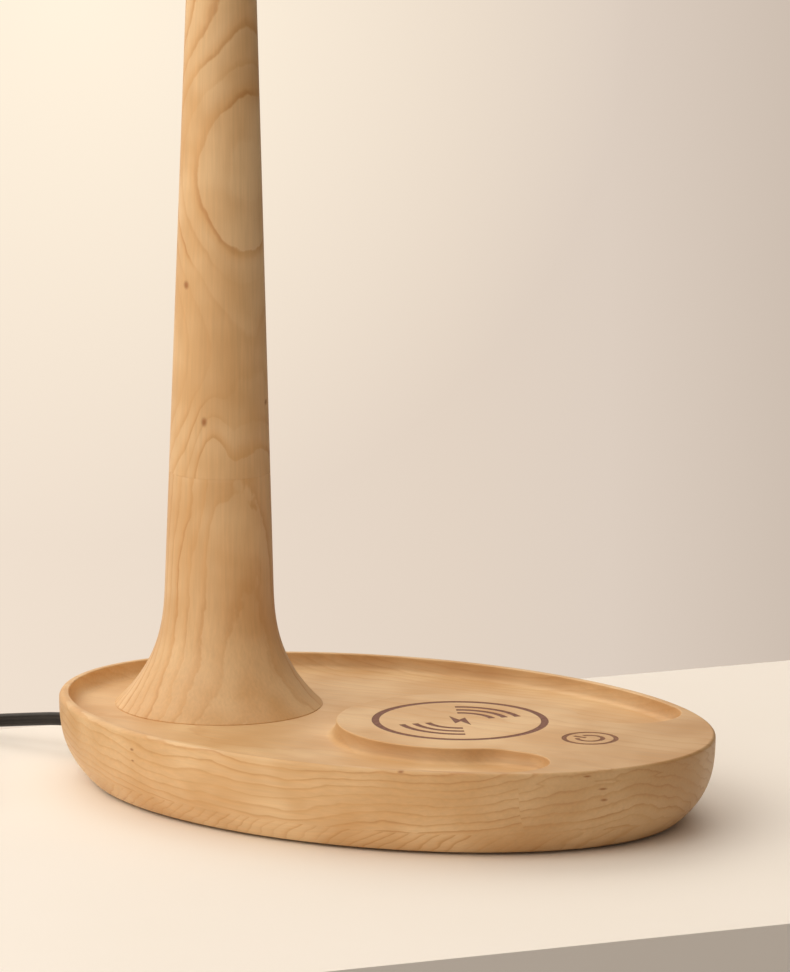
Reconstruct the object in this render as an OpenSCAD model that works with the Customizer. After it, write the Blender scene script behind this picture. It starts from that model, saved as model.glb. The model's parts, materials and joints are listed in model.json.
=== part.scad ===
// Wooden lamp foot with a wireless charging pad, its stem and its power lead.
// Millimetres. +Z is up. The origin is on the desk, under the middle of the oval base.
// +X runs along the base from the stem to the charging end. The lead leaves at -X.

/* [Base] */
// Length of the oval base
base_length = 280; // [276:1:290]
// Width of the oval base
base_width = 195; // [190:1:205]
// Height of the rim above the desk
base_height = 35; // [35:0.5:38]
// How far the side wall draws in at the ends by the time it reaches the bottom
side_inset = 14.8; // [10:0.2:16]
// Width of the rim at the top
rim_width = 4; // [3:0.5:6]
// Rounding of the rim's outer edge
rim_round = 1.8; // [1:0.2:3]
// Depth of the tray below the rim and the charging plateau
tray_depth = 6.3; // [5:0.1:6.5]

/* [Charging plateau] */
// Distance of the charging mark from the middle of the base
charge_x = 35; // [33:1:36]
// Radius of the round end of the plateau
plateau_radius = 49; // [47:0.5:50]
// Distance of the neck's front edge from the base's middle line
neck_front = 34.8; // [33:0.2:36]
// Distance of the neck's back edge from the base's middle line
neck_back = 29.3; // [29:0.1:30]
// Radius of the tray's round end in front of the neck
front_radius = 17.8; // [17:0.1:18]
// Radius of the tray's round end behind the neck
back_radius = 20.3; // [20:0.1:20.5]
// Outer radius of the charging mark
mark_radius = 35; // [33:0.5:36]
// Width of the charging mark's ring
mark_line = 3; // [2:0.5:3]
// Width of the charging mark's arcs
arc_line = 2.8; // [2:0.1:3]
// Distance of the touch mark from the middle of the base
touch_x = 93.6; // [91:0.2:95]
// Outer radius of the touch mark
touch_radius = 11.2; // [10:0.2:12]
// Depth of the engraved marks
mark_depth = 0.4; // [0.3:0.1:0.6]

/* [Stem] */
// Distance of the stem from the middle of the base, towards -X
stem_offset = 77; // [75:1:78]
// Height of the top of the wooden stem above the desk
stem_top = 346; // [340:1:380]
// Radius of the stem where the foot's flare ends
neck_radius = 21.8; // [20:0.2:23]
// How far the flare spreads at the tray floor
flare_spread = 18.6; // [16:0.2:19]
// Height of the flare
flare_height = 50; // [45:1:55]
// Taper of the stem, radius lost per millimetre of height
stem_taper = 0.033; // [0.03:0.001:0.034]
// Height of the glued seam between the two stem blocks
seam_z = 124; // [116:1:140]

/* [Power lead] */
// Width of the flat twin cord, which stands on edge
cord_width = 5.5; // [5:0.1:5.6]
// Thickness of the flat twin cord
cord_thick = 2.8; // [2.6:0.1:2.9]
// Height of the power socket's axis above the desk
socket_z = 12.8; // [12.7:0.1:13]

/* [Hidden] */

$fn = 64;
eps = 0.01;

// Colours
wood = "burlywood";
wood_dark = "rosybrown";
steel = "silver";
brass = "goldenrod";
copper = "chocolate";
black = "dimgray";
green = "seagreen";

// Base
base_bottom = 1;
base_steps = 10;
wall_height = base_height - base_bottom;
bottom_round = 1;
half_width = base_width / 2;
half_length = base_length / 2;
oval_sides = 96;
tray_z = base_height - tray_depth;
tray_half_width = half_width - rim_width;
tray_half_length = half_length - rim_width;
lobe_x = charge_x + 49.4;
// Round ends of the tray beside the neck: [side, distance of the neck's edge, radius]
front_lobe = [-1, neck_front, front_radius];
back_lobe = [1, neck_back, back_radius];
// Small step between the plateau's round end and the fillet beside its neck
fillet_gap = 0.05;
// Direction from a lobe's centre to where it meets the rim
lobe_lean = 30;

// Charging mark: middle radii of its arcs, how far they spread and how far they are turned
arc_radii = [13.5, 18.8, 24.2];
arc_spread = 38;
arc_turn = -3.3;
bolt = [[-8, 4.8], [1, -5.6], [1, -1.2], [8, -4.8], [-1, 5.6], [-1, 1.2]];
// Touch mark: its broken circle and bar
touch_circle = [4, 6];
touch_gap = 2.4;
touch_bar = [-7.2, 5.4, 2];

// Hollows under the base
cover_half = 52;
cover_radius = 62;
cover_gap = 0.4;
cover_top = 4;
ballast_x = -52;
ballast_radius = 51;
ballast_z = 20.5;
bay_radius = 50;
bay_z = 24;
pot_radius = 30;
pot_z = 32;
jack_room = [24, 24, 16];
jack_back_x = -122;
pocket_radius = 6.3;
touch_room_radius = 13;
touch_ledge_z = 27;
touch_top_radius = 8;

// Stem
stem_x = -stem_offset;
stem_bore = 4;
flare_power = 2.8;
flare_steps = 18;
foot_round = 1.2;
tenon_radius = 9;
tenon_length = 20;
tenon_gap = 0.1;
insert_radius = 8;
insert_top = 55;
rod_radius = 5;
rod_bore = 3.3;
rod_bottom = 9.5;
washer_radius = 18;
washer_thick = 2;
nut_height = 8;
nut_radius = 9.8;
dowel_radius = 3;
dowel_reach = 28;

// Lamp head socket at the stem's top
ferrule_radius = 8.5;
ferrule_length = 28;
ferrule_flange = 3;
head_bore = 6;
head_bore_length = 29;
ferrule_bottom = stem_top - ferrule_length;
connector_radius = 3.1;

// Screws: positions round the parts that they hold
cover_screw_radius = 57;
weight_hole = 20;
weight_radius = 50;
weight_bottom = 8;
weight_screw_reach = 40;
weight_screw_turns = [60, 115, 245, 300];
carrier_screw_reach = 34;
bracket_screw_at = [-115.5, 8.7];
touch_screw_reach = 10.5;
foot_reach = [72, 38];

// Screws: [shank radius, shank length, head radius, head height]
weight_screw = [1.9, 18, 4, 2.2];
cover_screw = [1.8, 11, 3.5, 1.4];
carrier_screw = [1.4, 7, 2.8, 1.6];
board_screw = [1.15, 7, 2.4, 1.5];
touch_screw = [0.95, 5, 1.7, 1.2];
bracket_screw = [1.1, 5.5, 2, 1.2];
cover_screw_z = base_bottom + 1.6;
pilot_extra = 0.6;

// Charger parts
carrier_flange = 38;
carrier_flange_thick = 2;
carrier_floor_z = 27.4;
carrier_tray_z = 29.4;
ferrite_radius = 24.5;
ferrite_thick = 0.6;
coil_wire = 0.55;
coil_inner = 10.5;
coil_pitch = 1.2;
charge_turns = 9;
charge_coil_z = carrier_tray_z + ferrite_thick + coil_wire;
board_size = [60, 44];
board_z = 10;
board_thick = 1.6;
board_hole = [26, 18];
boss_radius = 2.8;
wire_radius = 1.2;
touch_wire_radius = 0.9;
lead_radius = 0.4;
touch_board_z = touch_ledge_z - board_thick;

// Parts on the charger board: [x, y, length, width, height] and, for round ones, [x, y, radius, height]
capacitor_places = [[-14, 12, 3.2, 7], [-5, 12, 3.2, 7], [-14, -12, 3.2, 7]];
chip_places = [[-3.5, -3.5, 7, 7, 1], [-16, -3, 6, 6, 1.6], [10, 8, 5, 6, 1.5], [10, -14, 5, 6, 1.5]];
choke_place = [2, -14, 4.2, 4.5];
connector_places = [[-29.5, 6, 6, 8, 5.5], [-29.5, -14, 6, 8, 5.5], [23.5, 5, 6, 6, 5.5]];

// Power socket and plug
nose_radius = 5.8;
nose_face_x = -126;
socket_radius = 2.8;
socket_depth = 11;
pin_radius = 1;
bracket_plate = 0.8;
barrel_radius = 2.75;
barrel_bore = 1.06;
barrel_length = 9.8;
plug_gap = 0.3;
plug_face_x = nose_face_x - plug_gap;
plug_radius = 5;
grip_length = 14.5;
relief_length = 9;

// Stored coil: two flat layers, wound inwards below and outwards above
coil_centre = [-222, -42];
coil_turns = 7.25;
coil_outer = 35;
coil_step = 2.95;
coil_lift = 0.6;
layer_turns = coil_turns / 2;
coil_inner_turn = coil_outer - layer_turns * coil_step;
coil_top = coil_lift + 2 * cord_width + 0.1;
tie_thick = 0.6;
tie_width = 12;

// Route of the cord from the plug to the coil, and from the coil to the adapter
run_base_route = [
    [-149.8, 0, 12.8], [-152, 0, 12.8], [-158, 0, 12.2], [-169, 0, 10.6], [-181, -0.2, 8.8],
    [-192, -0.9, 7.1], [-202, -2.4, 5.5], [-211, -4.5, 4.1], [-217, -6.0, 3.5], [-222, -7, 3.35]];
run_adapter_route = [
    [-257, -42, 8.95], [-257.2, -50, 8.6], [-257.3, -58, 6.8], [-257, -66, 4.6], [-256.2, -74, 3.4],
    [-254, -84, 3], [-249.5, -93, 3.4], [-243, -100, 5], [-236.5, -104.4, 7.5], [-231.5, -106, 9],
    [-229, -106, 9]];

// Power adapter, lying on the desk
adapter_x = -218;
adapter_y = -106;
adapter_size = [60, 38, 27];
adapter_wall = 2;
adapter_round = 5;
adapter_cord_z = 9;
adapter_relief_length = 11;
blade_size = [17, 6.4, 1.5];
blade_gap = 12.7;

// Radius of the base's short side at height z
function side_radius(z) =
    let(t = (base_height - z) / wall_height)
    half_width * (1 - side_inset / half_length * t * t * t);

// Place of a tray lobe's middle across the base, and of the fillet that leads to it
function lobe_y(lobe) = lobe[0] * (lobe[1] + lobe[2]);
function fillet_x(lobe) = charge_x
    + sqrt(pow(plateau_radius + lobe[2] + fillet_gap, 2) - pow(lobe[1] + lobe[2], 2));

// Radius of the stem at height h above the tray floor
function stem_radius(h) =
    neck_radius + stem_taper * (flare_height - h)
    + (h < flare_height ? flare_spread * pow(1 - h / flare_height, flare_power) : 0);

function cross3(a, b) = [a[1] * b[2] - a[2] * b[1], a[2] * b[0] - a[0] * b[2], a[0] * b[1] - a[1] * b[0]];
function unit(v) = v / norm(v);
// Point on the smooth curve through p[i-1], p[i], p[i+1] and p[i+2], at t from 0 to 1 after p[i]
function curve_point(p, i, t) =
    let(a = p[max(i - 1, 0)], b = p[i], c = p[i + 1], d = p[min(i + 2, len(p) - 1)])
    0.5 * (2 * b + (c - a) * t + (2 * a - 5 * b + 4 * c - d) * t * t + (3 * b - a - 3 * c + d) * t * t * t);
// The route with more points along each of its spans
function smooth_route(p, steps) = [
    for (i = [0:len(p) - 2]) for (k = [0:steps - 1]) curve_point(p, i, k / steps), p[len(p) - 1]];
function route_way(p, i) = unit(p[min(i + 1, len(p) - 1)] - p[max(i - 1, 0)]);
// One ring of a swept tube: wide is its half height, thin its half thickness
function ring_points(p, i, wide, thin, sides) =
    let(way = route_way(p, i),
        guess = abs(way[2]) > 0.9 ? [0, 1, 0] : [0, 0, 1],
        side = unit(cross3(way, guess)),
        up = cross3(side, way))
    [for (k = [0:sides - 1]) p[i] + side * thin * cos(360 * k / sides) + up * wide * sin(360 * k / sides)];

// Tube swept along the points of a route
module swept_tube(p, wide, thin, sides) {
    last = len(p) - 1;
    points = [for (i = [0:last]) each ring_points(p, i, wide, thin, sides)];
    walls = [for (i = [0:last - 1]) for (k = [0:sides - 1])
        let(a = i * sides + k, b = i * sides + (k + 1) % sides)
        each [[a, a + sides, b], [b, a + sides, b + sides]]];
    first_cap = [[for (k = [0:sides - 1]) k]];
    last_cap = [[for (k = [sides - 1:-1:0]) last * sides + k]];
    polyhedron(points, concat(walls, first_cap, last_cap));
}

// Upright prism with two round ends
module stadium(half, radius, height) {
    for (side = [-1, 1]) translate([side * half, 0, 0]) cylinder(r = radius, h = height, $fn = 96);
    translate([-half, -radius, 0]) cube([2 * half, 2 * radius, height]);
}

// Washer or sleeve
module sleeve(outer, inner, height) {
    difference() {
        cylinder(r = outer, h = height);
        translate([0, 0, -1]) cylinder(r = inner, h = height + 2);
    }
}

// Screw that points up, with its flat head below z = 0
module screw(kind) {
    translate([0, 0, -kind[3]]) cylinder(r = kind[2], h = kind[3], $fn = 24);
    translate([0, 0, -eps]) cylinder(r = kind[0], h = kind[1] + eps, $fn = 24);
}

// Hole in the wood that the screw's shank fills
module pilot(kind) {
    cylinder(r = kind[0], h = kind[1] + pilot_extra, $fn = 24);
}

// Box with four rounded upright edges
module round_box(size, radius) {
    for (x = [radius, size[0] - radius]) for (y = [radius, size[1] - radius])
        translate([x, y, 0]) cylinder(r = radius, h = size[2], $fn = 32);
    translate([radius, 0, 0]) cube([size[0] - 2 * radius, size[1], size[2]]);
    translate([0, radius, 0]) cube([size[0], size[1] - 2 * radius, size[2]]);
}

// Points round an oval
function oval_points(a, b) = [for (i = [0:oval_sides - 1])
    [a * cos(360 * i / oval_sides), b * sin(360 * i / oval_sides)]];

// Base: outside shape, before it is hollowed. Each ring is [radius at the short side, z].
module base_blank() {
    wall = [for (i = [0:base_steps])
        let(z = base_bottom + bottom_round + (wall_height - bottom_round - rim_round) * i / base_steps)
        [side_radius(z), z]];
    bottom_edge = [[side_radius(base_bottom) - bottom_round, base_bottom]];
    rim_edge = [for (a = [30:30:90])
        [side_radius(base_height - rim_round) - rim_round * (1 - cos(a)),
         base_height - rim_round * (1 - sin(a))]];
    rings = concat(bottom_edge, wall, rim_edge);
    last = len(rings) - 1;
    n = oval_sides;
    points = [for (ring = rings) for (p = oval_points(ring[0] * half_length / half_width, ring[0]))
        [p[0], p[1], ring[1]]];
    walls = [for (i = [0:last - 1]) for (k = [0:n - 1])
        let(a = i * n + k, b = i * n + (k + 1) % n)
        each [[a, a + n, b], [b, a + n, b + n]]];
    floor_face = [[for (k = [0:n - 1]) k]];
    top_face = [[for (k = [n - 1:-1:0]) last * n + k]];
    polyhedron(points, concat(walls, floor_face, top_face));
}

// Charging plateau that stays standing inside the tray
module plateau() {
    h = tray_depth + 2;
    front = lobe_y(front_lobe);
    back = lobe_y(back_lobe);
    translate([charge_x, 0, 0]) cylinder(r = plateau_radius, h = h, $fn = 128);
    linear_extrude(h) polygon([
        [charge_x, 0], [fillet_x(back_lobe), back], [lobe_x, back], [lobe_x, front],
        [fillet_x(front_lobe), front]]);
}

// Round-ended part of the tray beside the plateau's neck
module tray_lobe(lobe) {
    h = tray_depth + 1;
    start = fillet_x(lobe);
    for (x = [start, lobe_x]) translate([x, lobe_y(lobe), 0]) cylinder(r = lobe[2], h = h);
    translate([start, lobe_y(lobe) - lobe[2], 0]) cube([lobe_x - start, 2 * lobe[2], h]);
}

// Part of the oval that the tray covers
module tray_reach() {
    h = tray_depth + 1;
    far = base_length;
    linear_extrude(h) polygon([[-far, -far], [lobe_x, -far], [lobe_x, far], [-far, far]]);
    for (lobe = [front_lobe, back_lobe]) linear_extrude(h) polygon([
        [lobe_x, lobe_y(lobe)], [lobe_x, lobe_y(lobe) + lobe[0] * far],
        [lobe_x + far * sin(lobe_lean), lobe_y(lobe) + lobe[0] * far * cos(lobe_lean)]]);
}

module tray() {
    h = tray_depth + 1;
    translate([0, 0, tray_z]) {
        difference() {
            intersection() {
                linear_extrude(h) polygon(oval_points(tray_half_length, tray_half_width));
                tray_reach();
            }
            translate([0, 0, -1]) plateau();
        }
        for (lobe = [front_lobe, back_lobe]) tray_lobe(lobe);
    }
}

// Hollows milled from below and the bores through the base
module base_hollows() {
    stadium(cover_half, cover_radius, cover_top);
    translate([ballast_x, 0, 0]) cylinder(r = ballast_radius, h = ballast_z, $fn = 96);
    translate([charge_x, 0, 0]) cylinder(r = bay_radius, h = bay_z, $fn = 96);
    translate([charge_x, 0, 0]) cylinder(r = pot_radius, h = pot_z);
    translate([touch_x, 0, 0]) cylinder(r = touch_room_radius, h = touch_ledge_z);
    translate([touch_x, 0, 0]) cylinder(r = touch_top_radius, h = pot_z);
    translate([jack_back_x, -jack_room[1] / 2, cover_top]) cube(jack_room);
    translate([-base_length, 0, socket_z]) rotate([0, 90, 0])
        cylinder(r = pocket_radius, h = base_length + jack_back_x + 1);
    translate([stem_x, 0, 0]) cylinder(r = rod_radius + 0.2, h = base_height);
    for (side = [-1, 1]) translate([stem_x, side * dowel_reach, tray_z - 6])
        cylinder(r = dowel_radius, h = 7);
    at_weight_screws() pilot(weight_screw);
    at_cover_screws() pilot(cover_screw);
    at_carrier_screws() pilot(carrier_screw);
    at_bracket_screws() pilot(bracket_screw);
    at_touch_screws() pilot(touch_screw);
}

// Thin plate in the shape of the charging mark: ring, three arcs on each side and a bolt
module charge_mark_shape(h) {
    wedge = 30;
    across = wedge * sin(arc_spread);
    out = wedge * cos(arc_spread);
    difference() {
        cylinder(r = mark_radius, h = h, $fn = 128);
        translate([0, 0, -1]) cylinder(r = mark_radius - mark_line, h = h + 2, $fn = 128);
    }
    rotate([0, 0, arc_turn]) for (side = [-1, 1]) for (r = arc_radii) intersection() {
        difference() {
            cylinder(r = r + arc_line / 2, h = h);
            translate([0, 0, -1]) cylinder(r = r - arc_line / 2, h = h + 2);
        }
        linear_extrude(h) polygon([[0, 0], [across, side * out], [0, side * 40], [-across, side * out]]);
    }
    linear_extrude(h) polygon(bolt);
}

// Thin plate in the shape of the touch mark: ring, broken circle and its bar
module touch_mark_shape(h) {
    difference() {
        cylinder(r = touch_radius, h = h);
        translate([0, 0, -1]) cylinder(r = touch_radius - 2, h = h + 2);
    }
    difference() {
        cylinder(r = touch_circle[1], h = h);
        translate([0, 0, -1]) cylinder(r = touch_circle[0], h = h + 2);
        translate([-10, -touch_gap, -1]) cube([10, 2 * touch_gap, h + 2]);
    }
    translate([touch_bar[0], -touch_bar[2] / 2, 0]) cube([touch_bar[1], touch_bar[2], h]);
}

module base_body() {
    color(wood) difference() {
        base_blank();
        tray();
        base_hollows();
        translate([charge_x, 0, base_height - mark_depth]) charge_mark_shape(1);
        translate([touch_x, 0, base_height - mark_depth]) touch_mark_shape(1);
    }
}

module charge_mark() {
    color(wood_dark) translate([charge_x, 0, base_height - mark_depth]) charge_mark_shape(mark_depth);
}

module touch_mark() {
    color(wood_dark) translate([touch_x, 0, base_height - mark_depth]) touch_mark_shape(mark_depth);
}

module stem_lower() {
    flare = [for (i = [0:flare_steps])
        let(h = foot_round + (flare_height - foot_round) * i / flare_steps) [stem_radius(h), h]];
    seam_h = seam_z - tray_z;
    color(wood) translate([stem_x, 0, tray_z]) difference() {
        rotate_extrude($fn = 96) polygon(concat(
            [[0, 0], [stem_radius(foot_round) - 0.6 * foot_round, 0]], flare,
            [[stem_radius(seam_h), seam_h], [0, seam_h]]));
        translate([0, 0, -1]) cylinder(r = stem_bore, h = seam_h + 2);
        translate([0, 0, -1]) cylinder(r = insert_radius, h = insert_top - tray_z + 1);
        translate([0, 0, seam_h - tenon_length]) cylinder(r = tenon_radius, h = tenon_length + 1);
        for (side = [-1, 1]) translate([0, side * dowel_reach, -1]) cylinder(r = dowel_radius, h = 8);
    }
}

module stem_upper() {
    length = stem_top - seam_z;
    color(wood) translate([stem_x, 0, seam_z]) difference() {
        union() {
            cylinder(r1 = stem_radius(seam_z - tray_z), r2 = stem_radius(stem_top - tray_z),
                h = length, $fn = 96);
            translate([0, 0, 0.2 - tenon_length]) cylinder(r = tenon_radius - tenon_gap, h = tenon_length);
        }
        translate([0, 0, -tenon_length - 1]) cylinder(r = stem_bore, h = length + tenon_length + 2);
        translate([0, 0, length - ferrule_length]) cylinder(r = ferrule_radius, h = ferrule_length + 1);
    }
}

module stem_insert() {
    color(brass) translate([stem_x, 0, tray_z + 0.5])
        sleeve(insert_radius, rod_radius, insert_top - tray_z - 0.5);
}

module stem_rod() {
    color(steel) translate([stem_x, 0, rod_bottom])
        sleeve(rod_radius, rod_bore, insert_top - 3 - rod_bottom);
}

module stem_washer() {
    color(steel) translate([stem_x, 0, ballast_z - washer_thick])
        sleeve(washer_radius, rod_radius + 0.2, washer_thick);
}

module stem_nut() {
    color(steel) translate([stem_x, 0, ballast_z - washer_thick - nut_height]) difference() {
        cylinder(r = nut_radius, h = nut_height, $fn = 6);
        translate([0, 0, -1]) cylinder(r = rod_radius, h = nut_height + 2);
    }
}

module stem_dowels() {
    color("tan") for (side = [-1, 1]) translate([stem_x, side * dowel_reach, tray_z - 5.8])
        cylinder(r = dowel_radius, h = 12.6);
}

module head_ferrule() {
    color(brass) translate([stem_x, 0, ferrule_bottom]) difference() {
        union() {
            cylinder(r = ferrule_radius, h = ferrule_length + ferrule_flange);
            translate([0, 0, ferrule_length])
                cylinder(r = stem_radius(stem_top - tray_z), h = ferrule_flange, $fn = 96);
        }
        translate([0, 0, ferrule_length + ferrule_flange - head_bore_length])
            cylinder(r = head_bore, h = head_bore_length + 1);
        translate([0, 0, -1]) cylinder(r = connector_radius, h = 5);
    }
}

module head_connector() {
    socket_bottom = stem_top + ferrule_flange - head_bore_length;
    color(black) translate([stem_x, 0, socket_bottom - 10]) difference() {
        cylinder(r = connector_radius, h = 10);
        for (side = [-1, 1]) translate([side * 1.3, 0, 5]) cylinder(r = 0.6, h = 6);
    }
}

// Places of the screws that hold the counterweight
module at_weight_screws() {
    for (turn = weight_screw_turns) translate([ballast_x, 0, weight_bottom]) rotate([0, 0, turn])
        translate([weight_screw_reach, 0, 0]) children();
}

module counterweight() {
    color("slategray") difference() {
        translate([ballast_x, 0, weight_bottom])
            cylinder(r = weight_radius, h = ballast_z - weight_bottom, $fn = 96);
        translate([stem_x, 0, 0]) cylinder(r = weight_hole, h = base_height);
        at_weight_screws() translate([0, 0, -1])
            cylinder(r = weight_screw[0] + 0.3, h = base_height, $fn = 24);
        // Room for the cable that rises to the charger board
        translate([ballast_x + weight_radius - 6, 4, 0]) cube([12, 12, base_height]);
        translate([ballast_x + weight_radius - 6, -16, 0]) cube([12, 12, base_height]);
    }
}

module counterweight_screws() {
    color(steel) at_weight_screws() screw(weight_screw);
}

// Places of the cover's six screws
module at_cover_screws() {
    for (side = [-1, 1]) {
        translate([0, side * cover_screw_radius, cover_screw_z]) children();
        for (end = [-1, 1])
            translate([end * (cover_half + cover_screw_radius * cos(45)),
                side * cover_screw_radius * sin(45), cover_screw_z]) children();
    }
}

module at_feet() {
    for (x = [-1, 1]) for (y = [-1, 1]) translate([x * foot_reach[0], y * foot_reach[1], 0]) children();
}

module bottom_cover() {
    color(black) difference() {
        translate([0, 0, base_bottom])
            stadium(cover_half, cover_radius - cover_gap, cover_top - base_bottom);
        at_cover_screws() translate([0, 0, -1]) cylinder(r = cover_screw[0] + 0.2, h = 9, $fn = 24);
        at_cover_screws() translate([0, 0, -9]) cylinder(r = cover_screw[2] + 0.3, h = 9, $fn = 24);
        at_feet() cylinder(r = 8.1, h = base_bottom + 0.8);
    }
}

module cover_screws() {
    color(steel) at_cover_screws() screw(cover_screw);
}

module rubber_feet() {
    color("black") at_feet() cylinder(r = 8, h = base_bottom + 0.8);
}

module at_board_holes() {
    for (x = [-1, 1]) for (y = [-1, 1]) translate([charge_x + x * board_hole[0], y * board_hole[1], 0])
        children();
}

// Places of the screws that hold the coil carrier
module at_carrier_screws() {
    for (turn = [0:90:270]) translate([charge_x, 0, bay_z - carrier_flange_thick]) rotate([0, 0, turn])
        translate([carrier_screw_reach, 0, 0]) children();
}

module coil_carrier() {
    flange_bottom = bay_z - carrier_flange_thick;
    lead_reach = 26;
    color("white") difference() {
        union() {
            translate([charge_x, 0, flange_bottom]) cylinder(r = carrier_flange, h = carrier_flange_thick);
            translate([charge_x, 0, flange_bottom])
                cylinder(r = pot_radius - 0.4, h = pot_z - 0.3 - flange_bottom);
            at_board_holes() translate([0, 0, board_z + board_thick])
                cylinder(r = boss_radius, h = flange_bottom + 1 - board_z - board_thick, $fn = 32);
        }
        translate([charge_x, 0, carrier_tray_z]) cylinder(r = pot_radius - 2.4, h = 10);
        translate([charge_x, 0, 0]) cylinder(r = pot_radius - 2.4, h = carrier_floor_z);
        at_carrier_screws() translate([0, 0, -1])
            cylinder(r = carrier_screw[0] + 0.2, h = base_height, $fn = 24);
        at_board_holes() cylinder(r = 1.2, h = flange_bottom, $fn = 24);
        for (side = [-1, 1]) translate([charge_x + lead_reach, side * 3, 0])
            cylinder(r = 0.7, h = base_height, $fn = 24);
    }
}

module carrier_screws() {
    color(steel) at_carrier_screws() screw(carrier_screw);
}

module ferrite_disc() {
    color("darkslategray") translate([charge_x, 0, carrier_tray_z])
        cylinder(r = ferrite_radius, h = ferrite_thick);
}

module charge_coil() {
    steps = 18;
    path = [for (i = [0:charge_turns * steps])
        let(a = 360 * i / steps, r = coil_inner + coil_pitch * i / steps)
        [charge_x + r * cos(a), r * sin(a), charge_coil_z]];
    color(copper) swept_tube(path, coil_wire, coil_wire, 6);
}

module coil_leads() {
    over = charge_coil_z + coil_wire + lead_radius + 0.05;
    board_top = board_z + board_thick;
    inner = [[charge_x + coil_inner, 0, charge_coil_z + 0.5], [charge_x + 12, -1, over],
        [charge_x + 18, -2.4, over], [charge_x + 25, -3, over - 0.1],
        [charge_x + 26, -3, over - 1.5], [charge_x + 26, -3, 24], [charge_x + 26, -3, board_top]];
    outer = [[charge_x + 21.3, 0.2, charge_coil_z], [charge_x + 22.4, 1.6, charge_coil_z],
        [charge_x + 24.8, 2.8, charge_coil_z], [charge_x + 26, 3, charge_coil_z - 1.5],
        [charge_x + 26, 3, 24], [charge_x + 26, 3, board_top]];
    color(copper) {
        swept_tube(smooth_route(inner, 2), lead_radius, lead_radius, 6);
        swept_tube(smooth_route(outer, 2), lead_radius, lead_radius, 6);
    }
}

module charger_board() {
    color(green) difference() {
        translate([charge_x - board_size[0] / 2, -board_size[1] / 2, board_z])
            cube([board_size[0], board_size[1], board_thick]);
        at_board_holes() cylinder(r = 1.5, h = base_height, $fn = 24);
    }
}

module board_screws() {
    color(steel) at_board_holes() translate([0, 0, board_z]) screw(board_screw);
}

// Place on the charger board, from the first two numbers of an entry
module on_board(place) {
    translate([charge_x + place[0], place[1], board_z + board_thick]) children();
}

module board_capacitors() {
    color("lightsteelblue") for (c = capacitor_places) on_board(c) cylinder(r = c[2], h = c[3]);
}

module board_chips() {
    color("black") {
        for (c = chip_places) on_board(c) cube([c[2], c[3], c[4]]);
        on_board(choke_place) cylinder(r = choke_place[2], h = choke_place[3]);
    }
}

module board_connectors() {
    color("ivory") for (c = connector_places) on_board(c) cube([c[2], c[3], c[4]]);
}

// Places of the screws that hold the touch board
module at_touch_screws() {
    for (side = [-1, 1]) translate([touch_x, side * touch_screw_reach, touch_board_z]) children();
}

module touch_board() {
    color(green) difference() {
        translate([touch_x, 0, touch_board_z]) cylinder(r = touch_room_radius - 0.5, h = board_thick);
        at_touch_screws() translate([0, 0, -1]) cylinder(r = touch_screw[0] + 0.15, h = 4, $fn = 24);
    }
}

// Contact spring between the touch board and the wood under the touch mark
module touch_spring() {
    steps = 12;
    turns = 3.5;
    wire = 0.35;
    height = pot_z - touch_ledge_z - 2 * wire;
    path = [for (i = [0:turns * steps])
        let(a = 360 * i / steps, part = i / (turns * steps), r = 5.5 - 1.5 * part)
        [touch_x + r * cos(a), r * sin(a), touch_ledge_z + wire + height * part]];
    color(brass) swept_tube(path, wire, wire, 6);
}

module touch_screws() {
    color(steel) at_touch_screws() screw(touch_screw);
}

module input_wires() {
    route = [[-109, 2, 12], [-106.5, 2.6, 11.6], [-104, 4.2, 8.5], [-100.5, 7, 5.9], [-94, 11, 5.6],
        [-84, 16, 5.6], [-60, 17, 5.6], [-30, 13, 5.6], [-12, 10.5, 5.7], [-5, 10, 6.6], [-1, 10, 10],
        [1.5, 10, 13.2], [5.4, 10, 14.2]];
    color("black") swept_tube(smooth_route(route, 3), wire_radius, wire_radius, 8);
}

module stem_wires() {
    route = [[5.4, -10, 14.2], [1.5, -10, 13.2], [-1, -10, 10], [-5, -10, 6.6], [-12, -10.5, 5.7],
        [-30, -10, 5.6], [-50, -6, 5.6], [-66, -2, 5.5], [-73, -0.5, 5.9], [-76.4, 0, 8.6],
        [-77, 0, 13], [-77, 0, 40], [-77, 0, 120], [-77, 0, 220], [-77, 0, 309.9]];
    color("black") swept_tube(smooth_route(route, 2), wire_radius, wire_radius, 8);
}

module touch_wires() {
    route = [[64.7, 8, 14.2], [69, 8, 14.4], [76, 6.5, 16], [84, 4, 19], [90, 2.4, 21.8], [92, 2, 23.4],
        [92, 2, 24.6], [92, 2, touch_board_z]];
    color("black") swept_tube(smooth_route(route, 2), touch_wire_radius, touch_wire_radius, 8);
}

// Power socket, its nose in the bore of the rear wall
module dc_jack() {
    body = [13, 10, 11.4];
    color("black") difference() {
        union() {
            translate([jack_back_x, -body[1] / 2, socket_z - body[2] / 2]) cube(body);
            translate([nose_face_x, 0, socket_z]) rotate([0, 90, 0])
                cylinder(r = nose_radius - 0.3, h = jack_back_x - nose_face_x + 1);
        }
        translate([nose_face_x - 1, 0, socket_z]) rotate([0, 90, 0])
            cylinder(r = socket_radius, h = socket_depth + 1);
    }
}

module jack_pin() {
    color(steel) translate([nose_face_x + 1, 0, socket_z]) rotate([0, 90, 0])
        cylinder(r = pin_radius, h = socket_depth - 1, $fn = 24);
}

// Places of the screws that hold the socket's saddle
module at_bracket_screws() {
    for (side = [-1, 1]) translate([bracket_screw_at[0], side * bracket_screw_at[1],
        cover_top + jack_room[2] - bracket_plate]) children();
}

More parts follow.
